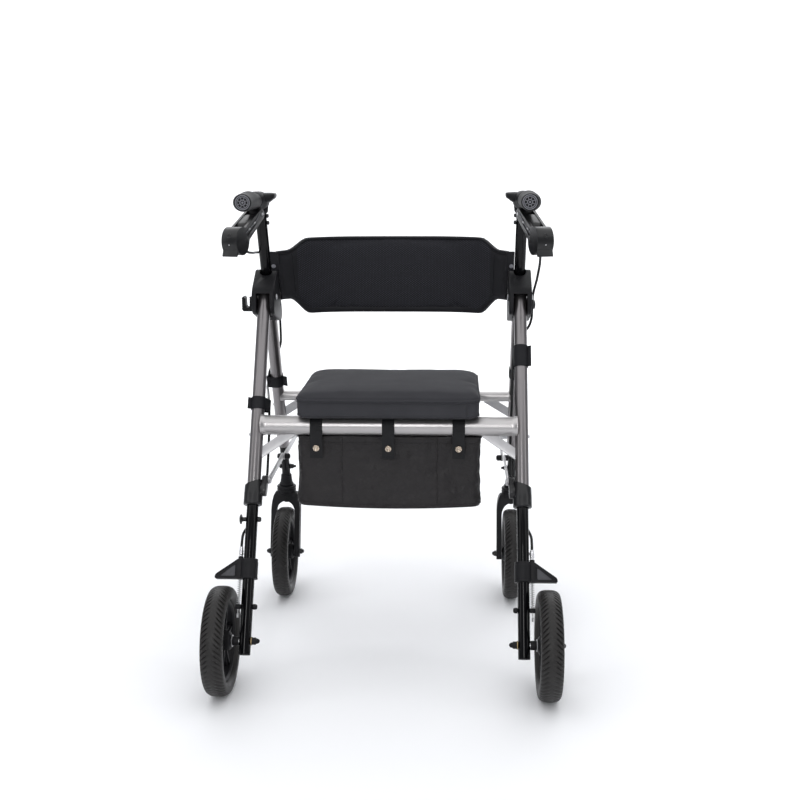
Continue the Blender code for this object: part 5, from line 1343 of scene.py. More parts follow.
pair("handle_head_shell", together(barrel, socket, plug, core, wing, boss), moulded, body, "handle_head")
reach = lever_width / 2 + 0.0014
pin = rod(lever_frame @ Vector((-reach, 0, 0)), lever_frame @ Vector((reach, 0, 0)), lever_pin_radius, 24,
          0.0008)
face = pole_radius + 0.0002
screws = [turned([(0, face + 0.0045), (0.0026, face + 0.0044), (0.0038, face + 0.0032),
                  (0.0041, face + 0.0012), (0.0041, face), (0, face)], 0.0004,
                 crosswise(pole_top - front_up * drop, -1), 28) for drop in screw_drops]
pair("handle_head_screws", together(*screws), gloss, body)
pair("brake_lever_pin", pin, steel, body)


# Grips: soft black rubber pushed on the heads' cores, fuller under the palm, with a hard grey disc in
# the end that faces the user, its rings and ribs left blank.

grip_rubber = Finish("grip_rubber", "grip_rubber", (0.012, 0.012, 0.013), specular=0.14)
grip_cloud = grip_rubber.cloud(45, 3.0)
grip_speck = grip_rubber.cloud(1100, 1.0)
grip_rubber.wears(0.46 + grip_cloud * 0.16 + grip_speck * 0.05, grip_cloud, (0.008, 0.008, 0.009),
                  (0.016, 0.016, 0.018))
grip_rubber.relief(grip_speck, 0.0001, 0.6)

disc_grey = Finish("grey_disc", "black_plastic", (0.12, 0.12, 0.135))
disc_grey.mottled(260, 3.0, 0.34, 0.16, (0.13, 0.13, 0.148), (0.205, 0.205, 0.228))

body = "handle_*"
stations = [
    (0.0, 0.0138, 0.0138, 0.0, 0.0), (0.0012, 0.0154, 0.015, 0.0002, 0.0),
    (0.006, 0.0167, 0.0159, 0.0008, 0.0), (0.022, 0.0189, 0.0168, 0.0028, -0.0005),
    (0.045, 0.0197, 0.0172, 0.003, 0.0002), (0.068, 0.0185, 0.018, 0.0015, 0.0018),
    (0.088, 0.0172, 0.0172, 0.0005, 0.0012), (0.108, 0.0165, 0.0158, 0.0, 0.0003),
    (0.117, 0.0163, 0.0155, 0.0, 0.0), (grip_length, 0.015, 0.0142, 0.0, 0.0),
]
rings = []
for ahead, half_width, half_height, outward, lift in eased_sizes(stations, 5):
    rib = 0.0004 * max(0.0, math.sin(2 * math.pi * ahead / 0.0062)) ** 2 if 0.078 < ahead < 0.112 else 0.0
    rings.append(oval((grip_x + outward, grip_end + ahead, grip_z + lift), half_width - rib,
                      half_height - rib, 44))
sleeve = lofted(rings)
pair("grip_sleeve", sleeve, grip_rubber, body, "grip")
outline = [
    (0, 0.001), (0.0018, 0.001), (0.0022, 0.0003), (0.0036, 0.0003), (0.004, 0.0009), (0.0052, 0.0009),
    (0.0056, 0.0003), (0.0092, 0.0003), (0.0096, 0.0009), (0.0106, 0.0009), (0.011, 0.0002), (0.0118, 0.0002),
    (0.012, 0.0013), (0.0134, 0.0013), (0.0137, 0.0004), (0.0137, -0.001), (0, -0.001),
]
disc_place = stand((grip_x, grip_end + 0.0006, grip_z), (0, -1, 0), across)
disc = turned(outline, 0.0002, disc_place, 56, cuts=2)
spokes = []
for step in range(8):
    turn = Matrix.Rotation(2 * math.pi * (step + 0.5) / 8, 4, "Z")
    spokes.append(slab(oblong(0.0058, -0.0006, 0.0092, 0.0006, 0.0004, 2), 0.0001, 0.0008, disc_place @ turn))
pair("grip_disc", together(disc, *spokes), disc_grey, body)


# Brake levers: one-piece black loops that turn on the heads' pins. Two cheeks run down to a wide curved
# band for the fingers, and a grey wire lies in a groove of the inner cheek.

lever_reach = 0.0973


def in_lever(shape):
    bmesh.ops.transform(shape, matrix=lever_frame, verts=shape.verts)
    return shape


body = "lever_*"
half = lever_width / 2
arms = stretched([(0, 0, 0.01), (-lever_reach + 0.018, -0.043, 0.015)], -half, half, points=48)
band_middle = -lever_reach + 0.0145
band = stretched([(band_middle, -0.047, 0.0263), (-0.062, -0.034, 0.01)], -half - 0.0002, half + 0.0002,
                 points=72)
loop = soften(carved(arms, band, operation="UNION"), 0.003, 4, 50)
gap = lever_slot / 2
inside = stretched([(band_middle, -0.047, 0.0195), (0.05, 0.02, 0.06)], -gap, gap, points=72)
pin_hole = crossrod(Vector(), 0.03, lever_pin_radius + clearance, 24, 0)
window = stretched([(-0.03, -0.015, 0.0046), (-0.062, -0.032, 0.0064)], half - 0.0014, half + 0.004)
inner_window = stretched([(-0.03, -0.015, 0.0046), (-0.062, -0.032, 0.0064)], -half - 0.004, -half + 0.0014)
loop = carved(loop, inside, pin_hole, window, inner_window)
soften(loop, 0.0006, 2, 60)
face_y = -lever_reach - 0.0116
ring = turned([(0.0022, 0), (0.0046, 0), (0.0043, 0.001), (0.0024, 0.001)], 0.0003,
              stand((0.0004, face_y + 0.0021, -0.037), (0, -1, 0.39), across), 32, closed=True)
lip = stretched([(-lever_reach - 0.003, -0.064, 0.004), (-lever_reach - 0.0095, -0.0735, 0.0014)],
                -half, half, 0.0008, 2)
cheek = turned([(0, -0.0002), (0.0062, -0.0002), (0.0056, 0.0012), (0, 0.0014)], 0.0004,
               stand((-half, -0.066, -0.046), (-1, 0, 0), (0, 0, 1)), 36)
ribs = [stretched([(-0.047 - 0.0065 * step, -0.0215 - 0.004 * step, 0.003),
                   (-0.05 - 0.0065 * step, -0.035 - 0.004 * step, 0.003)], -gap - 0.001, gap + 0.001, 0.0006,
                  2) for step in range(3)]
web = stretched([(-0.0205, -0.011, 0.0104), (-0.046, -0.025, 0.0122)], -gap - 0.001, gap + 0.001, 0.001, 2)
shape = in_lever(together(loop, ring, lip, cheek, web, *ribs))
pair("brake_lever_loop", shape, gloss, body, "brake_lever")
dot = turned([(0, 0.0008), (0.0011, 0.0007), (0.0015, 0), (0.0015, -0.001), (0, -0.001)], 0.0002,
             stand((0.0002, face_y + 0.0009, -0.053), (0, -1, -0.23), across), 24)
run = [Vector((-half - 0.0004, -0.01, 0.001)), Vector((-half - 0.0008, -0.03, -0.0135)),
       Vector((-half - 0.0008, -0.052, -0.024)), Vector((-half - 0.0004, -0.07, -0.033))]
strand = wound(smooth_route(run, 0.004), 0.0006)
ferrules = [rod(run[1] + (run[2] - run[1]) * 0.05, run[1] + (run[2] - run[1]) * 0.3, 0.0015, 16),
            rod(run[2] + (run[3] - run[2]) * 0.1, run[2] + (run[3] - run[2]) * 0.38, 0.0015, 16)]
pair("brake_lever_wire", in_lever(strand), disc_grey, body, slot="zinc_steel")
pair("brake_lever_ferrules", in_lever(together(dot, *ferrules)), steel, body)


# Handle-height bolts: the right one has a mushroom knob, and the left one ends in a two-pronged clip
# for a cane's shaft.

bracket_half = bracket_width / 2
inner = -bracket_half + 0.001
outline = knob(0.0095, 0.005, bracket_half + clearance, bracket_half + 0.0125, inner) + [(0, inner)]
right_bolt = turned(outline, 0.0005, crosswise(handle_bolt), 40)
dress("handle_knob_and_bolt", right_bolt, gloss, "front_frame", ["handle_knob_right"])
left_bolt = rod(handle_bolt + across * inner, handle_bolt + across * (bracket_half + 0.008), bolt_radius, 32)
dress("handle_bolt_shank_left", handed(left_bolt, -1), steel, "front_frame", ["handle_bolt_left"])

face = bracket_half + clearance
outline = eased([
    (face, -0.0138), (face + 0.0295, -0.0138), (face + 0.0323, -0.0105), (face + 0.0323, 0.0145),
    (face + 0.03, 0.0173), (face + 0.0258, 0.0135), (face + 0.0252, -0.002), (face + 0.0225, -0.0058),
    (face + 0.0195, -0.0058), (face + 0.0168, -0.002), (face + 0.016, 0.0163), (face + 0.0105, 0.0163),
    (face + 0.0095, -0.002), (face + 0.006, -0.0045), (face, -0.0045),
], 0.0016, True, 3)
upright = Matrix.Translation((leg_x, handle_bolt.y, handle_bolt.z)) @ stand((0, 0, 0), (0, -1, 0), across)
clip = slab(outline, -0.0128, 0.0128, upright, 0.001, 2, 40)
ribs = []
for reach, low, high in ((face + 0.0132, 0.001, 0.015), (face + 0.0292, -0.008, 0.013)):
    for step in range(5):
        z = low + (high - low) * step / 4
        ribs.append(slab(oblong(reach - 0.0036, z - 0.0009, reach + 0.0036, z + 0.0009, 0.0006, 2), -0.0138,
                         0.0138, upright))
boss = pipe(handle_bolt + across * face, handle_bolt + across * (face + 0.0092), 0.007,
            bolt_radius + clearance, 0.0006, 32)
dress("cane_clip_prongs", handed(together(clip, boss, *ribs), -1), moulded, "front_frame", ["cane_clip"])


# Seat board: a black moulded board with ribs below, hinged round the front bar by two saddles. Two feet
# rest it on the rear bar.

seat_hinge = joint_at("seat_hinge")
rear_bar = rear_leg_at(rear_bar_height, 0)
seat_half_width = 0.1735
seat_back = rear_bar.y - 0.058
seat_front = seat_hinge.y - 0.0211
seat_under = rear_bar.z + rear_bar_radius + 0.004
board_thickness = 0.01
board_inset = 0.008
saddle_x = 0.12
rib_pitch = 0.066
rib_half = 0.0012

board_half = seat_half_width - board_inset
flat = oblong(-board_half, seat_back + board_inset, board_half, seat_front - board_inset, 0.024, 8)
parts = [slab(flat, seat_under, seat_under + board_thickness - 0.0001, None, 0.0022, 3)]
for step in range(5):
    x = (step - 2) * rib_pitch
    parts.append(slab(oblong(x - rib_half, -0.03, x + rib_half, seat_front - 0.03, 0.0008, 2),
                      seat_under - 0.005, seat_under + 0.001, None, 0.0004, 1))
for y in (-0.02, 0.04, 0.1, 0.15):
    parts.append(slab(oblong(-board_half + 0.02, y - rib_half, board_half - 0.02, y + rib_half, 0.0008, 2),
                      seat_under - 0.005, seat_under + 0.001, None, 0.0004, 1))
for side in sides.values():
    x = side * saddle_x
    saddle = stretched([(seat_hinge.y, seat_hinge.z, front_bar_radius + 0.005),
                        (seat_hinge.y - 0.03, seat_under + 0.003, 0.004)], x - 0.012, x + 0.012, 0.0012, 2)
    bore = crossrod(Vector((x, seat_hinge.y, seat_hinge.z)), 0.03, front_bar_radius + clearance, 48, 0)
    parts.append(carved(saddle, bore))
    foot = oblong(x - 0.015, rear_bar.y - 0.01, x + 0.015, rear_bar.y + 0.01, 0.004, 4)
    parts.append(slab(foot, rear_bar.z + rear_bar_radius + 0.0016, seat_under + 0.001, None, 0.0006, 2))
dress("seat_board_and_saddles", together(*parts), moulded, "seat", ["seat_board"])


# Seat cushion: a boxed foam pad in dark grey leatherette, with a crowned top, piping round its top and
# bottom edges and a join in the wall near its right end.

cushion_low = seat_under + 0.0002
cushion_thickness = board_thickness + 0.0376
cushion_half_width = seat_half_width + 0.006
cushion_corner = 0.03
cloth_frames = 20

leatherette = Finish("seat_leatherette", "seat_leatherette", (0.046, 0.046, 0.05), specular=0.008)
pebble = leatherette.node("ShaderNodeTexVoronoi", {"feature": "DISTANCE_TO_EDGE"},
                          {"Vector": leatherette.where(), "Scale": 620.0})
crease = leatherette.cloud(26, 4.0)
tone = leatherette.cloud(11, 3.0)
leatherette.wears(0.4 + crease * 0.14 + pebble * 0.1, tone * 0.7 + crease * 0.3, (0.034, 0.034, 0.038),
                  (0.058, 0.058, 0.064))
leatherette.relief(pebble, 0.00022, 0.55, leatherette.relief(crease, 0.0011, 0.35))


def waver(x, y, z):
    """Smooth noise about 0 at this place."""
    return noise.noise(Vector((x, y, z)))


def rounded_ring(half_width, half_length, corner, middle_y, z, per_corner=8, per_side=16):
    """A rectangle with round corners, with the same number of points whatever its size."""
    ring = []
    for sign_x, sign_y, start in ((1, 1, 0), (-1, 1, 90), (-1, -1, 180), (1, -1, 270)):
        centre = Vector((sign_x * (half_width - corner), middle_y + sign_y * (half_length - corner), z))
        arc = []
        for step in range(per_corner + 1):
            turn = math.radians(start + 90 * step / per_corner)
            arc.append(centre + Vector((math.cos(turn), math.sin(turn), 0)) * corner)
        if ring:
            ring += [ring[-1].lerp(arc[0], step / per_side) for step in range(1, per_side)]
        ring += arc
    return ring + [ring[-1].lerp(ring[0], step / per_side) for step in range(1, per_side)]


def filled(shape, voxel, pressure, cap):
    """The shape as a stuffed cover: cloth that its filling presses out, no point further than cap."""
    cover = as_object(shape)
    evened = cover.modifiers.new("evened", "REMESH")
    evened.mode = "VOXEL"
    evened.voxel_size = voxel
    even = worked(cover)
    cover.modifiers.clear()
    cover.data = even
    cloth = cover.modifiers.new("filling", "CLOTH")
    cloth.settings.use_pressure = True
    cloth.settings.uniform_pressure_force = pressure
    cloth.settings.effector_weights.gravity = 0
    cloth.settings.quality = 4
    cloth.point_cache.frame_start = 1
    cloth.point_cache.frame_end = cloth_frames
    for frame_number in range(1, cloth_frames + 1):
        bpy.context.scene.frame_set(frame_number)
    pressed = cover.evaluated_get(bpy.context.evaluated_depsgraph_get()).data
    moves = [new.co - old.co for new, old in zip(pressed.vertices, even.vertices)]
    cover.modifiers.clear()
    for vert, move in zip(even.vertices, moves):
        vert.co += move * min(1.0, cap / max(move.length, 0.000001))
    bpy.context.scene.frame_set(1)
    finer = cover.modifiers.new("finer", "SUBSURF")
    finer.levels = finer.render_levels = 1
    return taken(cover)


def on_skin(shape, points, proud):
    """The points brought to the shape's skin, and a little proud of it."""
    skin = BVHTree.FromBMesh(shape)
    found = []
    for point in points:
        place, normal, _, _ = skin.find_nearest(Vector(point))
        found.append(place + normal * proud)
    return found


def seam(shape, points, radius, proud=0.0002, smooth=2, closed=False):
    """A round cord laid along the points on the shape's skin."""
    line = on_skin(shape, points, proud)
    return wound([*line, line[0], line[1]] if closed else line, radius, smooth)


middle_y, half_length = (seat_front + seat_back) / 2, (seat_front - seat_back) / 2
levels = [(0.006, 0.0), (0.003, 0.04), (0.0024, 0.1), (0.0026, 0.22), (0.0028, 0.38), (0.0026, 0.54),
          (0.0022, 0.66), (0.0018, 0.73), (0.0018, 0.78), (0.003, 0.83), (0.007, 0.88), (0.015, 0.92),
          (0.032, 0.95), (0.06, 0.968), (0.09, 0.98)]
rings = []
for inset, share in levels:
    corner = max(cushion_corner - inset * 0.25, 0.012)
    rings.append(rounded_ring(cushion_half_width - inset, half_length - inset, corner, middle_y,
                              cushion_low + share * cushion_thickness))
cushion = filled(lofted(rings), 0.0055, 4.0, 0.004)
for vert in cushion.verts:
    x, y, z = vert.co
    rise = within((z - cushion_low) / cushion_thickness, 0, 1)
    edge = min(cushion_half_width - abs(x), half_length - abs(y - middle_y))
    near_edge = within(1 - edge / 0.06, 0, 1)
    ripple = waver(x * 34, y * 34, 2.0) * 0.0007 * near_edge
    swell = waver(x * 9, y * 9, 5.0) * 0.0011
    vert.co.z += (ripple + swell) * rise
    if rise < 0.6:
        tuck = waver(x * 40, y * 40, z * 25) * 0.0007
        vert.co += Vector((x, y - middle_y, 0)).normalized() * tuck
    vert.co.z = max(vert.co.z, cushion_low + 0.0002)
    vert.co.x = within(vert.co.x, -cushion_half_width, cushion_half_width)
    vert.co.y = within(vert.co.y, seat_back, seat_front)
welts = []
for share, thick in ((0.785, 0.0021), (0.62, 0.0008), (0.03, 0.0012)):
    ring = rounded_ring(cushion_half_width, half_length, cushion_corner, middle_y,
                        cushion_low + share * cushion_thickness, 8, 30)
    welts.append(seam(cushion, ring, thick, 0.0003, 3, closed=True))
join_x = 0.152
join = [Vector((join_x, seat_back - 0.002, cushion_low + cushion_thickness * share / 20))
        for share in range(1, 15)]
welts.append(seam(cushion, join, 0.0011))
pad = dress("seat_cushion_cover", cushion, leatherette, "seat", ["seat_cushion"], crease=80)
dress("seat_cushion_piping", together(*welts), leatherette, "seat", crease=80)


# Backrest: a padded strap of black spacer mesh that bows forward between the brackets, with bound
# edges. Plain nylon necks at its ends are screwed to the brackets.

backrest_bow = 0.109
backrest_z = 0.7325
backrest_half_height = 0.08
neck_half_height = 0.0515
backrest_thickness = 0.016
backrest_end = leg_x - bracket_half - clearance
backrest_y = front_leg_at(backrest_z).y + backrest_bow
front_slope = -front_up.y / front_up.z

mesh_cloth = Finish("backrest_mesh", "backrest_mesh", (0.012, 0.012, 0.016), specular=0.2)
reach_x = mesh_cloth.node("ShaderNodeSeparateXYZ", None, {"Vector": mesh_cloth.where()})
panel = 1 - mesh_cloth.band(reach_x.math("ABSOLUTE", reach_x), 0.196, 0.199)
lines = [mesh_cloth.stripes("X", 95.0, (0, math.radians(turn), 0)) for turn in (57, -57)]
holes = mesh_cloth.band(lines[0] * lines[1], 0.3, 0.72)
weave = mesh_cloth.cloud(1700)
mesh_cloth.wears(0.66 + weave * 0.14 - holes * panel * 0.05, holes * panel,
                 mesh_cloth.mixed(weave, (0.009, 0.009, 0.011), (0.018, 0.018, 0.021)), (0.042, 0.044, 0.058))
mesh_cloth.relief(holes * panel, 0.0007, 0.6, mesh_cloth.relief(weave, 0.0001, 0.5))

nylon = Finish("black_nylon", "backrest_mesh", (0.01, 0.01, 0.012), specular=0.2)
twill = [nylon.stripes(direction, 380.0) for direction in ("X", "Z")]
nylon_cloud = nylon.cloud(60, 3.0)
nylon.wears(0.5 + nylon_cloud * 0.16, nylon_cloud, (0.007, 0.007, 0.009), (0.015, 0.015, 0.018))
nylon.relief(twill[0] * 0.5 + twill[1] * 0.5, 0.00012, 0.5)


def backrest_section(share):
    """Half the backrest's height, the height of its middle, its place ahead and its lean at this share."""
    t = within((abs(share) - 0.765) / 0.165, 0, 1)
    narrowed = t * t * (3 - 2 * t)
    half_height = backrest_half_height + (neck_half_height - backrest_half_height) * narrowed
    bow = abs(share) ** 4
    return half_height, backrest_z + 0.006 * narrowed, backrest_y - backrest_bow * bow, -front_slope * bow


def backrest_point(share, row, depth):
    """The point of the backrest at this share of the way to its end, row of its height and depth."""
    half_height, middle, y, lean = backrest_section(share)
    height = row * half_height
    square = Vector((4 * backrest_bow * share**3 / backrest_end, 1, 0)).normalized()
    return Vector((share * backrest_end, y + lean * height, middle + height)) + square * depth


def backrest_thick(share):
    return backrest_thickness / 2 * (1 - 0.45 * abs(share) ** 4)


columns = 64
shares = [bowed(2 * step / columns - 1, 0.85) for step in range(columns + 1)]
rings = []
for share in shares:
    ring = []
    for face in (-1, 1):
        for step in range(17):
            row = -face * bowed(step / 8 - 1, 0.8)
            round_off = (1 - abs(row) ** 5) ** 0.5
            depth = face * (0.0016 + (backrest_thick(share) - 0.0026) * round_off)
            ring.append(backrest_point(share, row * 0.992, depth))
    rings.append(ring)
backrest = filled(lofted(rings), 0.0036, 3.0, 0.0022)
for vert in backrest.verts:
    vert.co.x = within(vert.co.x, -backrest_end, backrest_end)
    share = abs(vert.co.x) / backrest_end
    pull = max(0.0, (share - 0.62) / 0.38)
    vert.co.y += 0.0013 * pull * waver(vert.co.x * 22, 0.5, vert.co.z * 60)
    vert.co.y += 0.001 * waver(vert.co.x * 10, 3.5, vert.co.z * 14)
hems = []
for row, half_tall, extra in ((1, 0.0034, 0.0004), (-1, 0.0072, 0.0007)):
    rings = []
    for share in shares:
        half_height = backrest_section(share)[0]
        rim = row * (half_height - half_tall)
        deep = 0.0016 + (backrest_thick(share) - 0.001) * (0.58 if row > 0 else 0.7) + extra
        ring = []
        for step in range(16):
            turn = 2 * math.pi * step / 16
            up = bowed(math.sin(turn), 0.75) * half_tall
            out = bowed(math.cos(turn), 0.75) * deep
            ring.append(backrest_point(share, (rim + up) / half_height, out))
        rings.append(ring)
    hem = lofted(rings)
    for vert in hem.verts:
        vert.co.x = within(vert.co.x, -backrest_end, backrest_end)
    hems.append(hem)
for share in (-0.905, 0.905):
    for depth in (-0.02, 0.02):
        hems.append(seam(backrest, [backrest_point(share, row / 12, depth) for row in range(-11, 12)], 0.001))
pad = dress("backrest_mesh_pad", backrest, mesh_cloth, "front_frame", ["backrest_pad"], crease=80)
dress("backrest_bindings", together(*hems), nylon, "front_frame", crease=80)
tab_face = across.cross(front_up)
tab_foot = front_leg_at(0.7532, 0) + tab_face * 0.0068
tab_inner, tab_outer = backrest_end - 0.005, leg_x - pole_radius - 0.0008
tab_height = (backrest_z + 0.006 + neck_half_height - tab_foot.z) / front_up.z
tab = slab(oblong(tab_inner, 0, tab_outer, tab_height - 0.001, 0.0016, 3), -0.0018, 0.0018,
           stand(tab_foot, tab_face, across), 0.001, 2)
hem_line = tab_foot + front_up * (tab_height - 0.0032)
hem = rod(hem_line + across * tab_inner, hem_line + across * (tab_outer - 0.001), 0.0023, 20, 0.0008)
pair("backrest_tab", together(tab, hem), nylon, "front_frame")
seat = tab_foot + across * (tab_outer - 0.0055) + front_up * 0.011 + tab_face * 0.0016
screw = turned(domed_head(0.0044, 0.0026), 0.0004, stand(seat, tab_face, across), 32)
pair("backrest_screw", screw, disc_grey, "front_frame", slot="zinc_steel")


# Bag: black woven nylon, sewn from panels with bound seams and an open, hemmed top. It sags a little, and
# it hangs between the two crossbars.

bag_half_width = 0.182
bag_back = rear_bar.y - 0.0145
bag_front = seat_hinge.y - 0.0186
bag_foot = 0.299
bag_corner = 0.016
bag_top = rear_bar.z - rear_bar_radius - clearance
bag_wall = 0.0012

bag_cloth = Finish("bag_nylon", "bag_cloth", (0.02, 0.018, 0.019), specular=0.3)
threads = [bag_cloth.stripes(direction, 330.0) for direction in ("X", "Y", "Z")]
fold_light = bag_cloth.cloud(10, 4.0)
fuzz = bag_cloth.cloud(900)
bag_cloth.wears(0.32 + fold_light * 0.24 + fuzz * 0.06, fold_light * 0.7 + fuzz * 0.3, (0.006, 0.005, 0.006),
                (0.027, 0.024, 0.025))
bag_cloth.relief(threads[0] * 0.34 + threads[1] * 0.33 + threads[2] * 0.33, 0.00016, 0.5,
                 bag_cloth.relief(bag_cloth.cloud(19, 4.0), 0.015, 1.0))

middle_y, half_length = (bag_front + bag_back) / 2, (bag_front - bag_back) / 2


def bag_ring(inset, share):
    z = bag_foot + share * (bag_top - bag_foot)
    return rounded_ring(bag_half_width - inset, half_length - inset, bag_corner, middle_y, z, 6, 34)


def thickened(shape, wall):
    """The skin given a wall on its inner side."""
    skin = as_object(shape)
    walled = skin.modifiers.new("walled", "SOLIDIFY")
    walled.thickness = wall
    walled.offset = -1
    return taken(skin)


def bag_fold(point):
    """How far the cloth at this point has crept in: long folds near the top, and a slack foot."""
    x, y, z = point
    share = (z - bag_foot) / (bag_top - bag_foot)
    slant = waver(x * 13 + z * 16, y * 13 - z * 9, z * 7)
    fine = waver(x * 42, y * 42, z * 60 + 3)
    slack = 0.0042 * (1 + slant) * (0.3 + 0.7 * share) + 0.0022 * (1 + fine)
    return slack + 0.005 * math.sin(math.pi * within(share, 0, 1)) * 0.25


levels = [(inset, 0.0) for inset in (0.118, 0.095, 0.072, 0.05, 0.03, 0.012)]
levels += [(0.005, 0.01), (0.0018, 0.035)]
levels += [(0.0006, 0.07 + 0.9 * step / 26) for step in range(27)] + [(0.0006, 1.0)]
shape = lofted([bag_ring(inset, share) for inset, share in levels])
caps = [face for face in shape.faces if len(face.verts) > 4]
top = max(caps, key=lambda face: face.calc_center_median().z)
bmesh.ops.delete(shape, geom=[top], context="FACES")
for vert in shape.verts:
    x, y, z = vert.co
    share = (z - bag_foot) / (bag_top - bag_foot)
    inwards = Vector((x / bag_half_width, (y - middle_y) / half_length, 0))
    inwards = Vector((bowed(inwards.x, 5), bowed(inwards.y, 5), 0))
    if share > 0.03 and inwards.length > 0.4:
        vert.co -= inwards.normalized() * bag_fold((x, y, z))
    across_sag = max(0.0, 1 - (x / bag_half_width) ** 2)
    middle = across_sag * max(0.0, 1 - ((y - middle_y) / half_length) ** 4)
    lifted = 0.007 * (1 - across_sag) * max(0.0, 1 - share * 3)
    vert.co.z += lifted
    if share <= 0.001:
        vert.co.z += 0.0016 * (1 + waver(x * 16, y * 16, 1)) * middle
bmesh.ops.recalc_face_normals(shape, faces=shape.faces)
seams = []
for seam_x, y in ((-0.0905, bag_back - 0.004), (0.0935, bag_back - 0.004), (-0.0905, bag_front + 0.004),
                  (0.0935, bag_front + 0.004)):
    run = [Vector((seam_x, y, bag_foot + 0.012 + (bag_top - bag_foot - 0.016) * step / 40))
           for step in range(41)]
    seams.append(seam(shape, run, 0.0011))
for share, thick in ((0.985, 0.0015), (0.905, 0.0005), (0.045, 0.0011)):
    ring = bag_ring(0, share)
    lifts = [0.007 * (point.x / bag_half_width) ** 2 * max(0.0, 1 - share * 3) for point in ring]
    ring = [point + upward * lift for point, lift in zip(ring, lifts)]
    seams.append(seam(shape, ring, thick, 0.0003, closed=True))
for side in sides.values():
    for y in (bag_back + 0.012, bag_front - 0.012):
        run = [Vector((side * (bag_half_width + 0.004), y, bag_foot + 0.02 + 0.105 * step / 30))
               for step in range(31)]
        seams.append(seam(shape, run, 0.001))
patch = [Vector((x, bag_back - 0.004, z)) for x, z in
         ((-0.017, 0.4075), (0.017, 0.4075), (0.017, 0.3985), (-0.017, 0.3985), (-0.017, 0.4075))]
seams.append(seam(shape, smooth_route(patch, 0.006), 0.0006, 0.0003))
shape = thickened(shape, bag_wall)
for label, part in (("walls", shape), ("seams", together(*seams))):
    stands_for = ["bag"] if label == "walls" else ()
    piece = dress(f"bag_{label}", part, bag_cloth, None, stands_for, crease=80)
    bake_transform(piece)


# Bag straps: three nylon webbing straps that hang the bag on the rear bar, each closed by a domed snap.

strap_places = (-0.139, 0.0, 0.135)
strap_width = 0.024
strap_thickness = 0.0013
strap_foot = 0.404
snap_height = 0.4236

webbing = Finish("black_webbing", "bag_cloth", (0.012, 0.012, 0.013), specular=0.2)
rib = webbing.stripes("DIAGONAL", 260.0)
webbing_cloud = webbing.cloud(70, 3.0)
webbing.wears(0.52 + webbing_cloud * 0.14, webbing_cloud, (0.009, 0.009, 0.01), (0.018, 0.018, 0.02))
webbing.relief(rib, 0.00018, 0.6)

brass = Finish("snap_metal", "zinc_steel", (0.56, 0.47, 0.38), 1.0)
brass.mottled(500, 3.0, 0.12, 0.14, (0.48, 0.39, 0.3), (0.64, 0.56, 0.47))

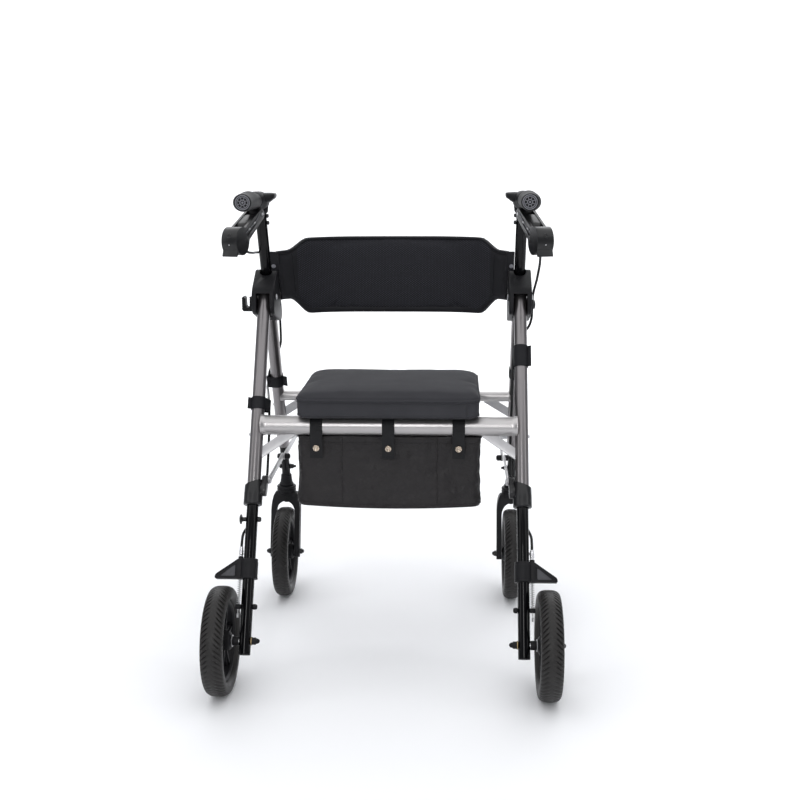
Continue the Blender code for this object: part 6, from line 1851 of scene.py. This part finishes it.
for number, x in enumerate(strap_places):
    near = rear_bar_radius + clearance
    far = near + strap_thickness
    outer = [(-far - 0.0006, strap_foot - rear_bar.z), (-far, -0.012)]
    inner = [(-near - 0.0006, strap_foot - rear_bar.z), (-near, -0.012)]
    for step in range(21):
        turn = math.pi * (1 - step / 20)
        outer.append((far * math.cos(turn), far * math.sin(turn)))
        inner.append((near * math.cos(turn), near * math.sin(turn)))
    outer += [(far, -0.012), (far + 0.0012, -0.03)]
    inner += [(near, -0.012), (near + 0.0012, -0.03)]
    band = slab(outer + inner[::-1], x - strap_width / 2, x + strap_width / 2, side_view(rear_bar), 0.0003, 1)
    stitches = []
    for z in (strap_foot + 0.0035, strap_foot + 0.0065, rear_bar.z - 0.006):
        for step in range(7):
            start = Vector((x - 0.0098 + 0.003 * step, rear_bar.y - far - 0.0008, z))
            stitches.append(rod(start, start + across * 0.0018, 0.0003, 6, 0))
    dress(f"bag_strap_{number}", together(band, *stitches), webbing, "rear_frame")
    snap_place = stand((x, rear_bar.y - far - 0.0004, snap_height), (0, -1, 0), across)
    outline = [(0, 0.0014), (0.0026, 0.0016), (0.0038, 0.003), (0.0054, 0.0031), (0.0066, 0.0018),
               (0.0069, 0.0006), (0.0066, -0.0002), (0, -0.0002)]
    dress(f"bag_snap_{number}", turned(outline, 0.0004, snap_place, 40, cuts=2), brass, "rear_frame")


# Cable straps: short bands of black hook-and-loop cloth round the legs, which hold the brake cables.

cable_strap_wall = 0.0011


def cable_strap(leg_point, leg_up, cable, tall, tail):
    """A band round a leg and the cable beside it, its loose end standing off as a tail."""
    gap, cord = leg_radius + clearance, cable_radius + clearance
    place = stand(leg_point, leg_up, across)
    beside = place.inverted() @ Vector(cable)
    outer = [(0, 0, gap + cable_strap_wall), (beside.x, beside.y, cord + cable_strap_wall)]
    inner = [(0, 0, gap), (beside.x, beside.y, cord)]
    band = carved(stretched(outer, -tall / 2, tall / 2, points=48), stretched(inner, -tall, tall, points=48))
    soften(band, 0.0004, 1, 50)
    away = -1 if beside.x > 0 else 1
    end = stretched([(away * (gap - 0.001), -0.004, 0.0009), (away * (gap + tail), -0.0075, 0.0009)],
                    -tall / 2 + 0.001, tall / 2 - 0.001, 0.0003, 1)
    shape = together(band, end)
    along = stand((0, 0, 0), across, (0, 1, 0))
    bmesh.ops.transform(shape, matrix=place @ along.inverted(), verts=shape.verts)
    return shape


for label, side, leg_at, leg_up, height, cable, tall, tail, body in (
    ("rear_left", -1, rear_leg_at, rear_up, 0.5015, (0.2378, -0.0255, 0.5), 0.025, 0.006, "rear_frame"),
    ("front_left", -1, front_leg_at, front_up, 0.507, (0.2728, 0.189, 0.505), 0.026, 0.009, "front_frame"),
    ("rear_right", 1, rear_leg_at, rear_up, 0.589, (0.2424, 0.016, 0.59), 0.044, 0.006, "rear_frame"),
    ("front_right", 1, front_leg_at, front_up, 0.5265, (0.2555, 0.19, 0.5265), 0.023, 0.006, "front_frame"),
):
    shape = cable_strap(leg_at(height), leg_up, cable, tall, tail)
    dress(f"cable_strap_{label}", handed(shape, side), nylon, body, slot="bag_cloth")


low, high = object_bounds()
{"frame": [list(frame_low), list(frame_high)], "visual": [list(low), list(high)]}
